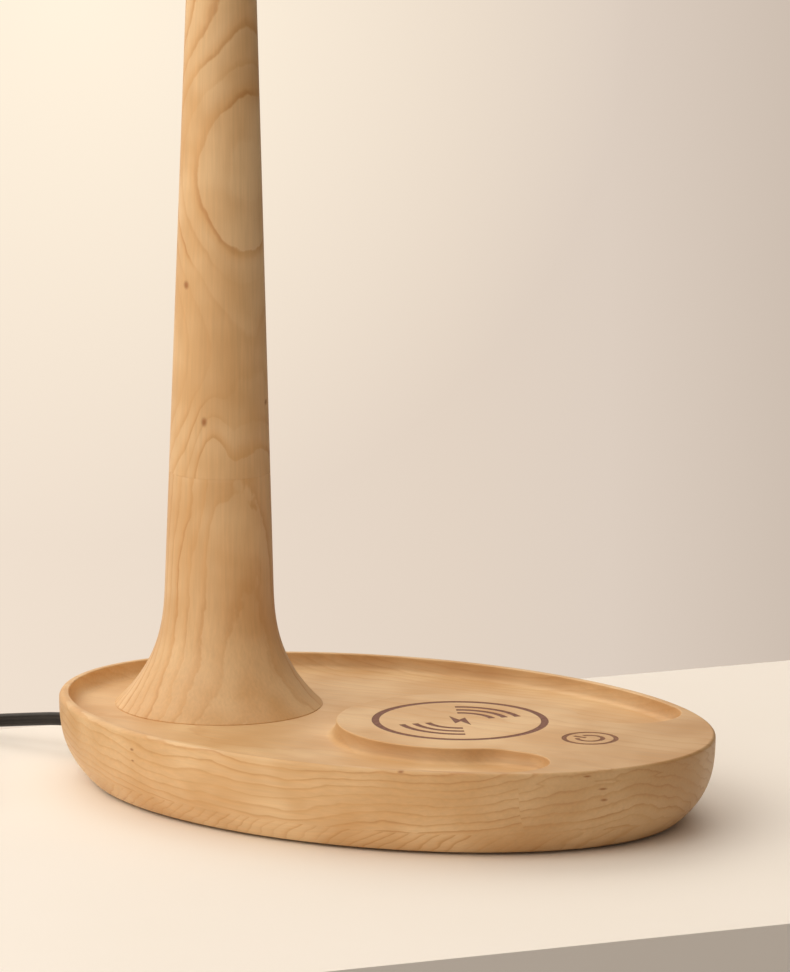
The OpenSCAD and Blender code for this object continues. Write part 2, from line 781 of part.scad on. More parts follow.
// Steel saddle under the socket, with a foot on each side against the roof of its room
module jack_bracket() {
    roof = cover_top + jack_room[2];
    plate = bracket_plate;
    long = 8;
    side_y = 5.1;
    foot = 5.4;
    under = socket_z - 6.5;
    color(steel) difference() {
        translate([jack_back_x + 2.5, 0, 0]) {
            translate([0, -side_y - plate, under]) cube([long, 2 * (side_y + plate), plate]);
            for (side = [0, 1]) mirror([0, side, 0]) {
                translate([0, side_y, under]) cube([long, plate, roof - under]);
                translate([0, side_y, roof - plate]) cube([long, plate + foot, plate]);
            }
        }
        at_bracket_screws() translate([0, 0, -1])
            cylinder(r = bracket_screw[0] + 0.1, h = 4, $fn = 24);
    }
}

module bracket_screws() {
    color(steel) at_bracket_screws() screw(bracket_screw);
}

module plug_barrel() {
    color(steel) translate([plug_face_x, 0, socket_z]) rotate([0, 90, 0]) difference() {
        translate([0, 0, -3]) cylinder(r = barrel_radius, h = barrel_length + 3);
        translate([0, 0, 0.5]) cylinder(r = barrel_bore, h = barrel_length, $fn = 24);
    }
}

// Moulded grip and strain relief of the plug
module plug_body() {
    color("black") translate([plug_face_x, 0, socket_z]) rotate([0, -90, 0]) difference() {
        union() {
            cylinder(r = plug_radius, h = grip_length);
            translate([0, 0, grip_length - eps])
                cylinder(r1 = 4.1, r2 = 3.1, h = relief_length + eps);
        }
        translate([0, 0, -1]) cylinder(r = barrel_radius, h = 4);
    }
}

module cord_run_base() {
    color("black") swept_tube(run_base_route, cord_width / 2, cord_thick / 2, 12);
}

module cord_coil() {
    inner = coil_inner_turn - cord_thick / 2;
    outer = coil_outer + cord_thick / 2;
    color("black") translate([coil_centre[0], coil_centre[1], 0])
        rotate_extrude($fn = 96) translate([inner, coil_lift])
            square([outer - inner, coil_top - coil_lift]);
}

// Strap round the stored coil
module coil_tie() {
    inner = coil_inner_turn - cord_thick / 2;
    outer = coil_outer + cord_thick / 2;
    color("dimgray") translate([coil_centre[0], coil_centre[1], 0]) intersection() {
        difference() {
            rotate_extrude($fn = 96) translate([inner - tie_thick, 0])
                square([outer - inner + 2 * tie_thick, coil_top + tie_thick]);
            rotate_extrude($fn = 96) translate([inner, coil_lift])
                square([outer - inner, coil_top - coil_lift]);
        }
        rotate([0, 0, -45]) translate([0, -tie_width / 2, -1]) cube([60, tie_width, 40]);
    }
}

module cord_run_adapter() {
    color("black") swept_tube(run_adapter_route, cord_width / 2, cord_thick / 2, 12);
}

module adapter_relief() {
    color("black") translate([adapter_x, adapter_y, adapter_cord_z]) rotate([0, -90, 0])
        cylinder(r1 = 4.4, r2 = 3.1, h = adapter_relief_length);
}

// One half of the adapter's case, open towards the other half
module adapter_half(height) {
    difference() {
        round_box([adapter_size[0], adapter_size[1], height], adapter_round);
        translate([adapter_wall, adapter_wall, adapter_wall])
            cube([adapter_size[0] - 2 * adapter_wall, adapter_size[1] - 2 * adapter_wall, height]);
    }
}

module adapter_lower_case() {
    color("black") difference() {
        translate([adapter_x, adapter_y - adapter_size[1] / 2, 0]) adapter_half(adapter_size[2] / 2);
        translate([adapter_x - 1, adapter_y, adapter_cord_z]) rotate([0, 90, 0])
            cylinder(r = 1.6, h = 5, $fn = 24);
    }
}

module adapter_upper_case() {
    color("black") translate([adapter_x, adapter_y + adapter_size[1] / 2, adapter_size[2]])
        rotate([180, 0, 0]) adapter_half(adapter_size[2] / 2 - 0.1);
}

module adapter_board() {
    color(green) translate([adapter_x + 6, adapter_y - 15, 5]) cube([48, 30, board_thick]);
}

module adapter_transformer() {
    color("gold") translate([adapter_x + 22, adapter_y - 9, 5 + board_thick]) cube([18, 18, 14]);
}

module adapter_blades() {
    face_x = adapter_x + adapter_size[0];
    color(steel) for (side = [-1, 1])
        translate([face_x, adapter_y + side * blade_gap / 2 - blade_size[2] / 2,
            adapter_size[2] / 2 - blade_size[1] / 2]) cube([blade_size[0], blade_size[2], blade_size[1]]);
}

base_body();
charge_mark();
touch_mark();
stem_lower();
stem_upper();
stem_insert();
stem_rod();
stem_washer();
stem_nut();
stem_dowels();
head_ferrule();
head_connector();
counterweight();
counterweight_screws();
bottom_cover();
cover_screws();
rubber_feet();
coil_carrier();
carrier_screws();
ferrite_disc();
charge_coil();
coil_leads();
charger_board();
board_screws();
board_capacitors();
board_chips();
board_connectors();
touch_board();
touch_spring();
touch_screws();
input_wires();
stem_wires();
touch_wires();
dc_jack();
jack_pin();
jack_bracket();
bracket_screws();
plug_barrel();
plug_body();
cord_run_base();
cord_coil();
coil_tie();
cord_run_adapter();
adapter_relief();
adapter_lower_case();
adapter_upper_case();
adapter_board();
adapter_transformer();
adapter_blades();
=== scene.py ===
"""Looks of the wooden lamp foot with its wireless charging pad, in the CAD frame.

+X runs to the charging end, +Z is up, and the origin is on the desk under the middle of the base.
The shapes and the grain are given in millimetres, and MM turns those into metres. The camera and the
lights are given in metres.
"""

import json
import math

import bmesh
import bpy
import numpy as np
from mathutils import Matrix, Vector

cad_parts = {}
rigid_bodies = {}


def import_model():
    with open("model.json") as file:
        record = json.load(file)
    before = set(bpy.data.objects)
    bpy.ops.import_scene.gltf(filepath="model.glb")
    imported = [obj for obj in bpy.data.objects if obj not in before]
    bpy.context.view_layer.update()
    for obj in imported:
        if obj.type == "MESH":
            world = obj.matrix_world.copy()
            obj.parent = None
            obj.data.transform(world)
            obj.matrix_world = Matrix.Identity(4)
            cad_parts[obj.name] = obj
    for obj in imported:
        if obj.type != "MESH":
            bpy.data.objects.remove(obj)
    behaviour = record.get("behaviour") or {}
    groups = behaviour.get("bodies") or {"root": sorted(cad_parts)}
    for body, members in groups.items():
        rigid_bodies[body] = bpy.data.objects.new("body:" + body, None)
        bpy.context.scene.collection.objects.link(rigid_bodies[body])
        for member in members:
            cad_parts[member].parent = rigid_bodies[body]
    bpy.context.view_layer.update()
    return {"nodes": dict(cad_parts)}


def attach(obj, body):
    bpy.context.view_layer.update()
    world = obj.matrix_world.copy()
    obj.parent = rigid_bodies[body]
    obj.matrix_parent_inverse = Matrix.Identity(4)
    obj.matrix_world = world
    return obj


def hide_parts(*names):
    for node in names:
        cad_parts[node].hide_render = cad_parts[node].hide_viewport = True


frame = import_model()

SCENE = bpy.context.scene
NODES = frame["nodes"]
MM = 0.001

# ---------------------------------------------------------------- camera
CAMERA_AZIMUTH = math.radians(30.227)
CAMERA_ELEVATION = math.radians(10.985)
CAMERA_ROLL = math.radians(0.472)
CAMERA_PLACE = (1.41884, -2.42773, 0.67152)
CAMERA_LENS = 268.49


def camera_axes(azimuth, elevation, roll):
    """Right, up and back of a camera that looks at the object from that side."""
    sa, ca = math.sin(azimuth), math.cos(azimuth)
    se, ce = math.sin(elevation), math.cos(elevation)
    back = Vector((sa * ce, -ca * ce, se))
    right = Vector((ca, sa, 0))
    up = back.cross(right)
    cr, sr = math.cos(roll), math.sin(roll)
    return cr * right + sr * up, cr * up - sr * right, back


VIEW_RIGHT, VIEW_UP, VIEW_BACK = camera_axes(CAMERA_AZIMUTH, CAMERA_ELEVATION, CAMERA_ROLL)


def make_camera():
    data = bpy.data.cameras.new("camera")
    data.lens = CAMERA_LENS
    data.sensor_width = 36
    data.clip_start = 0.1
    data.clip_end = 50
    camera = bpy.data.objects.new("camera", data)
    turn = Matrix((VIEW_RIGHT, VIEW_UP, VIEW_BACK)).transposed()
    camera.matrix_world = Matrix.Translation(CAMERA_PLACE) @ turn.to_4x4()
    SCENE.collection.objects.link(camera)
    SCENE.camera = camera


make_camera()

# ---------------------------------------------------------------- meshes


def new_piece(name, points, faces, smooth_angle=35):
    """A piece from points in millimetres, with its faces turned outwards."""
    mesh = bpy.data.meshes.new(name)
    mesh.from_pydata([tuple(MM * c for c in p) for p in points], [], faces)
    mesh.validate()
    piece = bpy.data.objects.new(name, mesh)
    SCENE.collection.objects.link(piece)
    smooth(piece, smooth_angle)
    outward(piece)
    return piece


def shaped_piece(name, shape):
    """A piece from a bmesh in metres, which is freed."""
    mesh = bpy.data.meshes.new(name)
    shape.to_mesh(mesh)
    shape.free()
    piece = bpy.data.objects.new(name, mesh)
    SCENE.collection.objects.link(piece)
    return piece


def stand_in(piece, body, slot, *nodes):
    """Makes a piece ride on a body and take the place of CAD nodes."""
    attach(piece, body)
    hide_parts(*nodes)


def smooth(piece, angle):
    mesh = piece.data
    mesh.polygons.foreach_set("use_smooth", [True] * len(mesh.polygons))
    mesh.set_sharp_from_angle(angle=math.radians(angle))


def weighted(piece):
    modifier = piece.modifiers.new("weighted", "WEIGHTED_NORMAL")
    modifier.keep_sharp = True
    modifier.weight = 100


def outward(piece):
    shape = bmesh.new()
    shape.from_mesh(piece.data)
    bmesh.ops.recalc_face_normals(shape, faces=shape.faces)
    shape.to_mesh(piece.data)
    shape.free()


def around(sides):
    """Directions in radians, evenly spread round a full turn."""
    return [2 * math.pi * k / sides for k in range(sides)]


def loft(rings, endless=False):
    """Points and faces through rings that have the same number of points. An endless loft runs on from
    its last ring to its first, and any other has a face at each end."""
    n = len(rings[0])
    points = [p for ring in rings for p in ring]
    faces = []
    last = len(rings) if endless else len(rings) - 1
    for i in range(last):
        a, b = i * n, (i + 1) % len(rings) * n
        for k in range(n):
            faces.append((a + k, a + (k + 1) % n, b + (k + 1) % n, b + k))
    if not endless:
        faces.append(tuple(range(n - 1, -1, -1)))
        faces.append(tuple(range(last * n, last * n + n)))
    return points, faces


def lathe(profile, x, y, sides):
    """A closed profile of (radius, height) turned round an upright axis."""
    turns = around(sides)
    rings = [[(x + r * math.cos(t), y + r * math.sin(t), z) for t in turns] for r, z in profile]
    return loft(rings, endless=True)


def lathe_along_x(profile, y, z, sides=96):
    """A closed profile of (radius, x) turned round an axis along X."""
    turns = around(sides)
    rings = [[(x, y + r * math.cos(t), z + r * math.sin(t)) for t in turns] for r, x in profile]
    return loft(rings, endless=True)


def prism(outline, low, high):
    return loft([[(x, y, z) for x, y in outline] for z in (low, high)])


def circle(x, y, r, sides=96):
    return [(x + r * math.cos(t), y + r * math.sin(t)) for t in around(sides)]


def stadium(half, r, sides=64):
    """Outline of two half circles, each half away from the middle, and the straight sides between."""
    outline = []
    for x, start in ((half, -90), (-half, 90)):
        for k in range(sides + 1):
            t = math.radians(start + 180 * k / sides)
            outline.append((x + r * math.cos(t), r * math.sin(t)))
    return outline


def rectangle(x0, y0, x1, y1):
    return [(x0, y0), (x1, y0), (x1, y1), (x0, y1)]


def washer(x, y, inner, outer, low, high):
    return lathe([(inner, low), (outer, low), (outer, high), (inner, high)], x, y, 120)


def band(x, y, inner, outer, start, end, low, high):
    """Prism of part of a ring, between two directions in degrees, with corners about every 3 degrees."""
    steps = int((end - start) / 3)
    turns = [math.radians(start + (end - start) * k / steps) for k in range(steps + 1)]
    outline = [(x + outer * math.cos(t), y + outer * math.sin(t)) for t in turns]
    outline += [(x + inner * math.cos(t), y + inner * math.sin(t)) for t in reversed(turns)]
    return prism(outline, low, high)


def merged(parts):
    points, faces = [], []
    for p, f in parts:
        faces += [tuple(i + len(points) for i in face) for face in f]
        points += p
    return points, faces


def cut(piece, cutters):
    """Takes closed solids out of a piece, and keeps the result as its mesh."""
    holder = bpy.data.collections.new("cutters")
    for points, faces in cutters:
        cutter = new_piece("cutter", points, faces)
        SCENE.collection.objects.unlink(cutter)
        holder.objects.link(cutter)
    SCENE.collection.children.link(holder)
    modifier = piece.modifiers.new("cut", "BOOLEAN")
    modifier.operation = "DIFFERENCE"
    modifier.solver = "EXACT"
    modifier.operand_type = "COLLECTION"
    modifier.collection = holder
    bpy.context.view_layer.update()
    graph = bpy.context.evaluated_depsgraph_get()
    result = bpy.data.meshes.new_from_object(piece.evaluated_get(graph))
    piece.modifiers.clear()
    piece.data = result
    for cutter in list(holder.objects):
        bpy.data.objects.remove(cutter)
    bpy.data.collections.remove(holder)


# ---------------------------------------------------------------- base
HALF_LENGTH, HALF_WIDTH, TOP, BOTTOM = 140, 97.5, 35, 1
OVAL_SIDES = 256
# How far in the wall comes at the bottom, as a share of the base, and the rounding of that edge
WALL_INSET, FOOT_ROUND = 14.8 / HALF_LENGTH, 1
WALL_STEPS = 14
# The rim's rounding: its mean, how far it varies round the base, and where it is softest, in degrees
RIM_ROUND, RIM_VARIES, RIM_SOFTEST = 1.9, 0.7, 150
RIM_WIDTH = 4
TRAY_FLOOR = 28.7
TRAY_LENGTH, TRAY_WIDTH = HALF_LENGTH - RIM_WIDTH, HALF_WIDTH - RIM_WIDTH
CHARGE_X, PLATEAU_R = 35, 49
LOBE_X = CHARGE_X + 49.4
# Round ends of the tray beside the plateau's neck: distance of the neck's edge, radius
FRONT_LOBE, BACK_LOBE = (34.8, 17.8), (29.3, 20.3)
COVE = 4.2
EDGE_ROUND = 0.55
STEM_X = -77
SOCKET_Z, SOCKET_R = 12.8, 6.3
MARK_DEPTH, MARK_SINK = 0.4, 0.12
# Charging mark: a ring, arcs by their middle radius, and a bolt. Angles are in degrees
CHARGE_R, CHARGE_RING = 35, 3
ARC_RADII, ARC_WIDTH, ARC_SPREAD, ARC_TURN = (13.5, 18.8, 24.2), 2.8, 38, -3.3
BOLT = [(-8, 4.8), (-1, 1.2), (-1, 5.6), (8, -4.8), (1, -1.2), (1, -5.6)]
# Touch mark: a ring, a circle with a gap, and a bar into the gap
TOUCH_X, TOUCH_R, TOUCH_RING = 93.6, 11.2, 2
TOUCH_CIRCLE, TOUCH_GAP = (4, 6), 2.4
TOUCH_BAR = rectangle(TOUCH_X - 7.2, -1, TOUCH_X - 1.8, 1)


def wall_share(z):
    """Share of the rim's half length and half width that the wall has at height z."""
    return 1 - WALL_INSET * ((TOP - z) / (TOP - BOTTOM)) ** 3


def lobe_frame(lobe):
    """A tray lobe's distance across the base, where its fillet to the plateau is, the turn at which the
    tray's oval is nearest to it, and the direction from its middle to that place."""
    neck, radius = lobe
    across = neck + radius
    fillet = CHARGE_X + math.sqrt((PLATEAU_R + radius) ** 2 - across ** 2)

    def offset(t):
        return TRAY_LENGTH * math.cos(t) - LOBE_X, TRAY_WIDTH * math.sin(t) - across

    # Tried every 0.0005 radians of the first quarter
    nearest = min((0.0005 * k for k in range(3000)), key=lambda t: math.hypot(*offset(t)))
    dx, dy = offset(nearest)
    return across, fillet, nearest, math.atan2(dy, dx)


def tray_outline():
    """Points round the tray, each with the direction into the tray."""
    quarter = math.pi / 2
    points = []

    def arc(x, y, r, start, end, steps, inward=-1):
        for k in range(steps):
            t = start + (end - start) * k / steps
            way = (math.cos(t), math.sin(t))
            points.append(((x + r * way[0], y + r * way[1]), (inward * way[0], inward * way[1])))

    back_y, back_fillet, back_meet, back_lean = lobe_frame(BACK_LOBE)
    front_y, front_fillet, front_meet, front_lean = lobe_frame(FRONT_LOBE)
    back_r, front_r = BACK_LOBE[1], FRONT_LOBE[1]
    oval_steps = 180
    for k in range(oval_steps):
        t = back_meet + (2 * math.pi - back_meet - front_meet) * k / oval_steps
        way = Vector((-math.cos(t) / TRAY_LENGTH, -math.sin(t) / TRAY_WIDTH)).normalized()
        points.append(((TRAY_LENGTH * math.cos(t), TRAY_WIDTH * math.sin(t)), (way[0], way[1])))
    arc(LOBE_X, -front_y, front_r, -front_lean, quarter, 30)
    to_disc = math.atan2(front_y, CHARGE_X - front_fillet)
    arc(front_fillet, -front_y, front_r, quarter, to_disc, 10)
    to_back = math.atan2(back_y, CHARGE_X - back_fillet)
    arc(CHARGE_X, 0, PLATEAU_R, to_disc - math.pi, -math.pi - to_back, 110, inward=1)
    arc(back_fillet, back_y, back_r, -to_back, -quarter, 10)
    arc(LOBE_X, back_y, back_r, -quarter, back_lean, 30)
    return points


def rim_round(turn):
    """The rim's rounding, softer at the stem's end than at the front of the charging end."""
    return RIM_ROUND + RIM_VARIES * math.cos(turn - math.radians(RIM_SOFTEST))


def oval(inset, height, at_rim=False):
    """A ring round the base. inset and height give, for each direction, how far inside the wall and how
    high it lies. At the rim the wall has come out to the full oval."""
    ring = []
    for t in around(OVAL_SIDES):
        way = Vector((math.cos(t) / HALF_LENGTH, math.sin(t) / HALF_WIDTH)).normalized()
        z = height(t)
        share = 1.0 if at_rim else wall_share(z)
        ring.append((HALF_LENGTH * share * math.cos(t) - way[0] * inset(t),
                     HALF_WIDTH * share * math.sin(t) - way[1] * inset(t), z))
    return ring


def wall_rings():
    """Rings from the bottom's edge up the wall and over the rim."""
    rings = []
    for k in range(4):
        turn = math.radians(30 * k)
        rings.append(oval(lambda t: FOOT_ROUND * (1 - math.sin(turn)),
                          lambda t: BOTTOM + FOOT_ROUND * (1 - math.cos(turn))))
    start = BOTTOM + FOOT_ROUND
    for k in range(1, WALL_STEPS + 1):
        part = k / WALL_STEPS
        rings.append(oval(lambda t: 0, lambda t: start + (TOP - rim_round(t) - start) * part))
    rim_steps = 8
    for k in range(1, rim_steps + 1):
        turn = math.radians(90 * k / rim_steps)
        rings.append(oval(lambda t: 0.995 * rim_round(t) * (1 - math.cos(turn)),
                          lambda t: TOP - rim_round(t) * (1 - math.sin(turn)), at_rim=True))
    return rings


def tray_rings():
    """Rings from the tray's rounded edge down its cove to its floor."""
    profile = []
    for k in range(4):
        turn = math.radians(30 * k)
        profile.append((EDGE_ROUND * (math.sin(turn) - 1), TOP - EDGE_ROUND * (1 - math.cos(turn))))
    drop = TOP - EDGE_ROUND - TRAY_FLOOR
    cove_steps = 12
    for k in range(1, cove_steps + 1):
        turn = math.radians(90 * k / cove_steps)
        profile.append((COVE * (1 - math.cos(turn)), TOP - EDGE_ROUND - drop * math.sin(turn)))
    outline = tray_outline()
    return [[(p[0] + d * w[0], p[1] + d * w[1], z) for p, w in outline] for d, z in profile]


def base_shape():
    shape = bmesh.new()

    def skin(rings):
        """Faces through rings. Gives the first and the last ring's corners."""
        made = [[shape.verts.new([MM * c for c in p]) for p in ring] for ring in rings]
        for low, high in zip(made, made[1:]):
            n = len(low)
            for k in range(n):
                shape.faces.new((low[k], low[(k + 1) % n], high[(k + 1) % n], high[k]))
        return made[0], made[-1]

    def edges(ring):
        return [shape.edges.get((ring[k], ring[(k + 1) % len(ring)])) for k in range(len(ring))]

    def fill(boundary):
        bmesh.ops.triangle_fill(shape, use_beauty=True, edges=boundary, normal=(0, 0, 1))

    bottom, rim = skin(wall_rings())
    shape.faces.new(list(reversed(bottom)))
    tray_edge, floor_edge = skin(tray_rings())
    fill(edges(rim) + edges(tray_edge))
    fill(edges(floor_edge))
    bmesh.ops.recalc_face_normals(shape, faces=shape.faces)
    return shape


def charge_shapes(low, high):
    parts = [washer(CHARGE_X, 0, CHARGE_R - CHARGE_RING, CHARGE_R, low, high)]
    for side in (90, 270):
        middle = side + ARC_TURN
        for r in ARC_RADII:
            parts.append(band(CHARGE_X, 0, r - ARC_WIDTH / 2, r + ARC_WIDTH / 2,
                              middle - ARC_SPREAD, middle + ARC_SPREAD, low, high))
    parts.append(prism([(CHARGE_X + x, y) for x, y in reversed(BOLT)], low, high))
    return parts


def touch_shapes(low, high):
    inner, outer = TOUCH_CIRCLE
    half = math.degrees(math.asin(2 * TOUCH_GAP / (inner + outer)))
    return [
        washer(TOUCH_X, 0, TOUCH_R - TOUCH_RING, TOUCH_R, low, high),
        band(TOUCH_X, 0, inner, outer, half - 180, 180 - half, low, high),
        prism(TOUCH_BAR, low, high),
    ]


def base_hollows():
    """The recess of the bottom cover, the rooms above it, and the plug's bore."""
    cover = stadium(52, 62)
    # Outline and top of the rooms of: counterweight, charger board, charging coil, touch board, touch
    # spring, power socket
    rooms = [
        (circle(-52, 0, 51), 20.5),
        (circle(CHARGE_X, 0, 50), 24),
        (circle(CHARGE_X, 0, 30), 32),
        (circle(TOUCH_X, 0, 13, 48), 27),
        (circle(TOUCH_X, 0, 8, 48), 32),
        (rectangle(-122, -12, -98, 12), 20),
    ]
    centre_r, outside, inside = 0.001, -160, -121
    bore = [(centre_r, outside), (SOCKET_R, outside), (SOCKET_R, inside), (centre_r, inside)]
    hollows = [prism(cover, -1, 4)]
    # Each room starts a little higher than the one before, so that no two faces lie in one plane
    for k, (outline, top) in enumerate(rooms):
        hollows.append(prism(outline, 2 + 0.1 * k, top))
    hollows.append(lathe_along_x(bore, 0, SOCKET_Z, 48))
    return hollows


def make_base():
    base = shaped_piece("base_wood", base_shape())
    low, above = TOP - MARK_DEPTH, TOP + 1
    cut(base, base_hollows() + charge_shapes(low, above) + touch_shapes(low, above))
    smooth(base, 35)
    weighted(base)
    stand_in(base, "base", "maple", "base_body")
    return base


def make_mark(name, shapes, node, slot):
    mark = new_piece(name, *merged(shapes(TOP - MARK_DEPTH, TOP - MARK_SINK)))
    stand_in(mark, "base", slot, node)
    return mark


# ---------------------------------------------------------------- stem
SEAM_Z, STEM_TOP = 124, 346
# The upper block's tenon, and how much shorter and thinner it is than the room for it
TENON, TENON_ROOM_R, TENON_SHORT, TENON_THIN = 20, 9, 0.2, 0.1
STEM_BORE = 4
INSERT_R, INSERT_TOP = 8, 55
FERRULE_R, FERRULE_FLOOR = 8.5, 318
FLARE_HEIGHT, FLARE_SPREAD, FLARE_POWER, FLARE_END = 50, 18.6, 2.8, 79
WAIST_R, TAPER = 21.8, 0.033
# Height and depth of the small edges at the foot, at the seam and at the top
FOOT_EDGE, SEAM_EDGE, TOP_EDGE = (0.3, 0.1), (0.12, 0.1), (0.5, 0.4)
SEAM_GAP = 0.01


def stem_radius(z):
    h = z - TRAY_FLOOR
    flare = FLARE_SPREAD * max(1 - h / FLARE_HEIGHT, 0) ** FLARE_POWER
    return WAIST_R + TAPER * (FLARE_HEIGHT - h) + flare


def make_stem():
    """The two stem blocks, each turned from a closed profile."""

    def side(low, high, steps):
        return [(stem_radius(z), z) for z in np.linspace(low, high, steps)]

    tenon_z, foot_z = SEAM_Z - TENON, TRAY_FLOOR + FOOT_EDGE[0]
    tenon_low, upper_low = tenon_z + TENON_SHORT, SEAM_Z + SEAM_GAP
    seam_r, tenon_r = stem_radius(SEAM_Z) - SEAM_EDGE[1], TENON_ROOM_R - TENON_THIN
    lower = [(stem_radius(foot_z) - FOOT_EDGE[1], TRAY_FLOOR)]
    lower += side(foot_z, FLARE_END, 40) + side(FLARE_END + 5, SEAM_Z - SEAM_EDGE[0], 12)
    lower += [(seam_r, SEAM_Z), (TENON_ROOM_R, SEAM_Z), (TENON_ROOM_R, tenon_z), (STEM_BORE, tenon_z),
              (STEM_BORE, INSERT_TOP), (INSERT_R, INSERT_TOP), (INSERT_R, TRAY_FLOOR)]
    upper = [(tenon_r, tenon_low), (tenon_r, upper_low), (seam_r, upper_low)]
    upper += side(upper_low + SEAM_EDGE[0], STEM_TOP - TOP_EDGE[0], 30)
    upper += [(stem_radius(STEM_TOP) - TOP_EDGE[1], STEM_TOP), (FERRULE_R, STEM_TOP),
              (FERRULE_R, FERRULE_FLOOR), (STEM_BORE, FERRULE_FLOOR), (STEM_BORE, tenon_low)]
    made = []
    for level, profile in (("lower", lower), ("upper", upper)):
        piece = new_piece("stem_wood_" + level, *lathe(profile, STEM_X, 0, 192))
        stand_in(piece, "base", "maple", "stem_" + level)
        made.append(piece)
    return made


# ---------------------------------------------------------------- cord
CORD_WIDTH, CORD_THICK = 5.5, 2.8
COIL_CENTRE = (-222, -42)
COIL_TURNS, COIL_OUTER, COIL_STEP = 7.25, 35, 2.95
COIL_LOW_Z, COIL_RISE, COIL_RISE_TURNS = 3.35, 5.6, 0.2
BASE_ROUTE = [
    (-149.8, 0, 12.8), (-152, 0, 12.8), (-158, 0, 12.2), (-169, 0, 10.6), (-181, -0.2, 8.8),
    (-192, -0.9, 7.1), (-202, -2.4, 5.5), (-211, -4.5, 4.1), (-217, -6.0, 3.5), (-222, -7, 3.35)]
ADAPTER_ROUTE = [
    (-257, -42, 8.95), (-257.2, -50, 8.6), (-257.3, -58, 6.8), (-257, -66, 4.6), (-256.2, -74, 3.4),
    (-254, -84, 3), (-249.5, -93, 3.4), (-243, -100, 5), (-236.5, -104.4, 7.5), (-231.5, -106, 9),
    (-229, -106, 9)]


def smooth_route(route, steps=4):
    """A smooth curve through the route's points."""
    p = [np.array(q, float) for q in route]
    line = []
    for i in range(len(p) - 1):
        a, b, c, d = p[max(i - 1, 0)], p[i], p[i + 1], p[min(i + 2, len(p) - 1)]
        for k in range(steps):
            t = k / steps
            line.append(0.5 * (2 * b + (c - a) * t + (2 * a - 5 * b + 4 * c - d) * t * t
                               + (3 * b - a - 3 * c + d) * t ** 3))
    line.append(p[-1])
    return line


def coil_line(per_turn=60):
    """Two layers of turns: inwards in the lower one, up within a fifth of a turn, and out again."""
    line = []
    count = int(COIL_TURNS * per_turn)
    for k in range(1, count):
        t = COIL_TURNS * k / count
        r = COIL_OUTER - COIL_STEP * min(t, COIL_TURNS - t)
        rise = min(max((t - COIL_TURNS / 2) / COIL_RISE_TURNS + 0.5, 0), 1)
        rise = rise * rise * (3 - 2 * rise)
        turn = math.pi / 2 + 2 * math.pi * t
        line.append(np.array((COIL_CENTRE[0] + r * math.cos(turn), COIL_CENTRE[1] + r * math.sin(turn),
                              COIL_LOW_Z + COIL_RISE * rise)))
    return line


def cord_section():
    """Outline of flat twin cord: two round wires side by side, with a groove between them."""
    r = CORD_THICK / 2
    centre = CORD_WIDTH / 2 - r
    outline = []
    for side in (1, -1):
        for k in range(9):
            turn = math.radians(-112 + 28 * k)
            outline.append((r * math.sin(turn) * side, side * (centre + r * math.cos(turn))))
        outline.append((0.72 * r * side, 0))
    return outline


def make_cord():
    """The cord, and the points that it follows in metres."""
    line = smooth_route(BASE_ROUTE) + coil_line() + smooth_route(ADAPTER_ROUTE)
    section = cord_section()
    rings = []
    for i, place in enumerate(line):
        way = line[min(i + 1, len(line) - 1)] - line[max(i - 1, 0)]
        way /= np.linalg.norm(way)
        side = np.cross(way, (0, 0, 1))
        side /= np.linalg.norm(side)
        up = np.cross(side, way)
        rings.append([tuple(place + side * x + up * y) for x, y in section])
    cord = new_piece("cord_sleeve", *loft(rings), smooth_angle=50)
    stand_in(cord, "power_lead", "cord_vinyl", "cord_run_base", "cord_coil", "cord_run_adapter")
    return cord, [tuple(MM * c for c in p) for p in line]


# The plug's grip runs from its face towards -X
PLUG_FACE, PLUG_LENGTH, GRIP_LENGTH = -126.3, 23.5, 14.5
GRIP_R, GRIP_GROOVE_R, BARREL_R, BARREL_DEPTH = 5, 4.6, 2.75, 3
GRIP_RIBS, GRIP_PITCH = 5, 2
RELIEF_RIBS, RELIEF_PITCH, RELIEF_R, RELIEF_TAPER, RELIEF_GROOVE = 4, 2.1, 4.1, 0.24, 0.65


def make_plug():
    """The plug's ribbed grip, and its strain relief that tapers to the cord."""
    grip = [(BARREL_R, PLUG_FACE), (4.4, PLUG_FACE), (GRIP_R, PLUG_FACE - 0.6)]
    for k in range(GRIP_RIBS):
        x = PLUG_FACE - 3.2 - GRIP_PITCH * k
        grip += [(GRIP_R, x), (GRIP_GROOVE_R, x - 0.35), (GRIP_GROOVE_R, x - 0.85), (GRIP_R, x - 1.2)]
    grip += [(GRIP_R, PLUG_FACE - GRIP_LENGTH + 0.6), (4.5, PLUG_FACE - GRIP_LENGTH)]
    for k in range(RELIEF_RIBS):
        x = PLUG_FACE - GRIP_LENGTH - RELIEF_PITCH * k
        r = RELIEF_R - RELIEF_TAPER * k
        groove_r = r - RELIEF_GROOVE
        grip += [(r, x - 0.3), (r - 0.1, x - 1.3), (groove_r, x - 1.5), (groove_r, x - 2.0)]
    end = PLUG_FACE - PLUG_LENGTH
    grip += [(3.1, end + 0.5), (2.9, end), (0.01, end), (0.01, PLUG_FACE - BARREL_DEPTH),
             (BARREL_R, PLUG_FACE - BARREL_DEPTH)]
    plug = new_piece("plug_grip", *lathe_along_x(grip, 0, SOCKET_Z))
    stand_in(plug, "power_lead", "cord_vinyl", "plug_body")
    return plug


ADAPTER_LOW, ADAPTER_HIGH, ADAPTER_SEAM = (-218, -125, 0), (-158, -87, 27), (13.4, 13.5)
UPRIGHT_ROUND, OUTER_ROUND, SEAM_ROUND = 5, 2.2, 0.3


def soften(shape, edges, radius, segments):
    bmesh.ops.bevel(shape, geom=edges, offset=radius * MM, segments=segments, profile=0.5, affect="EDGES")


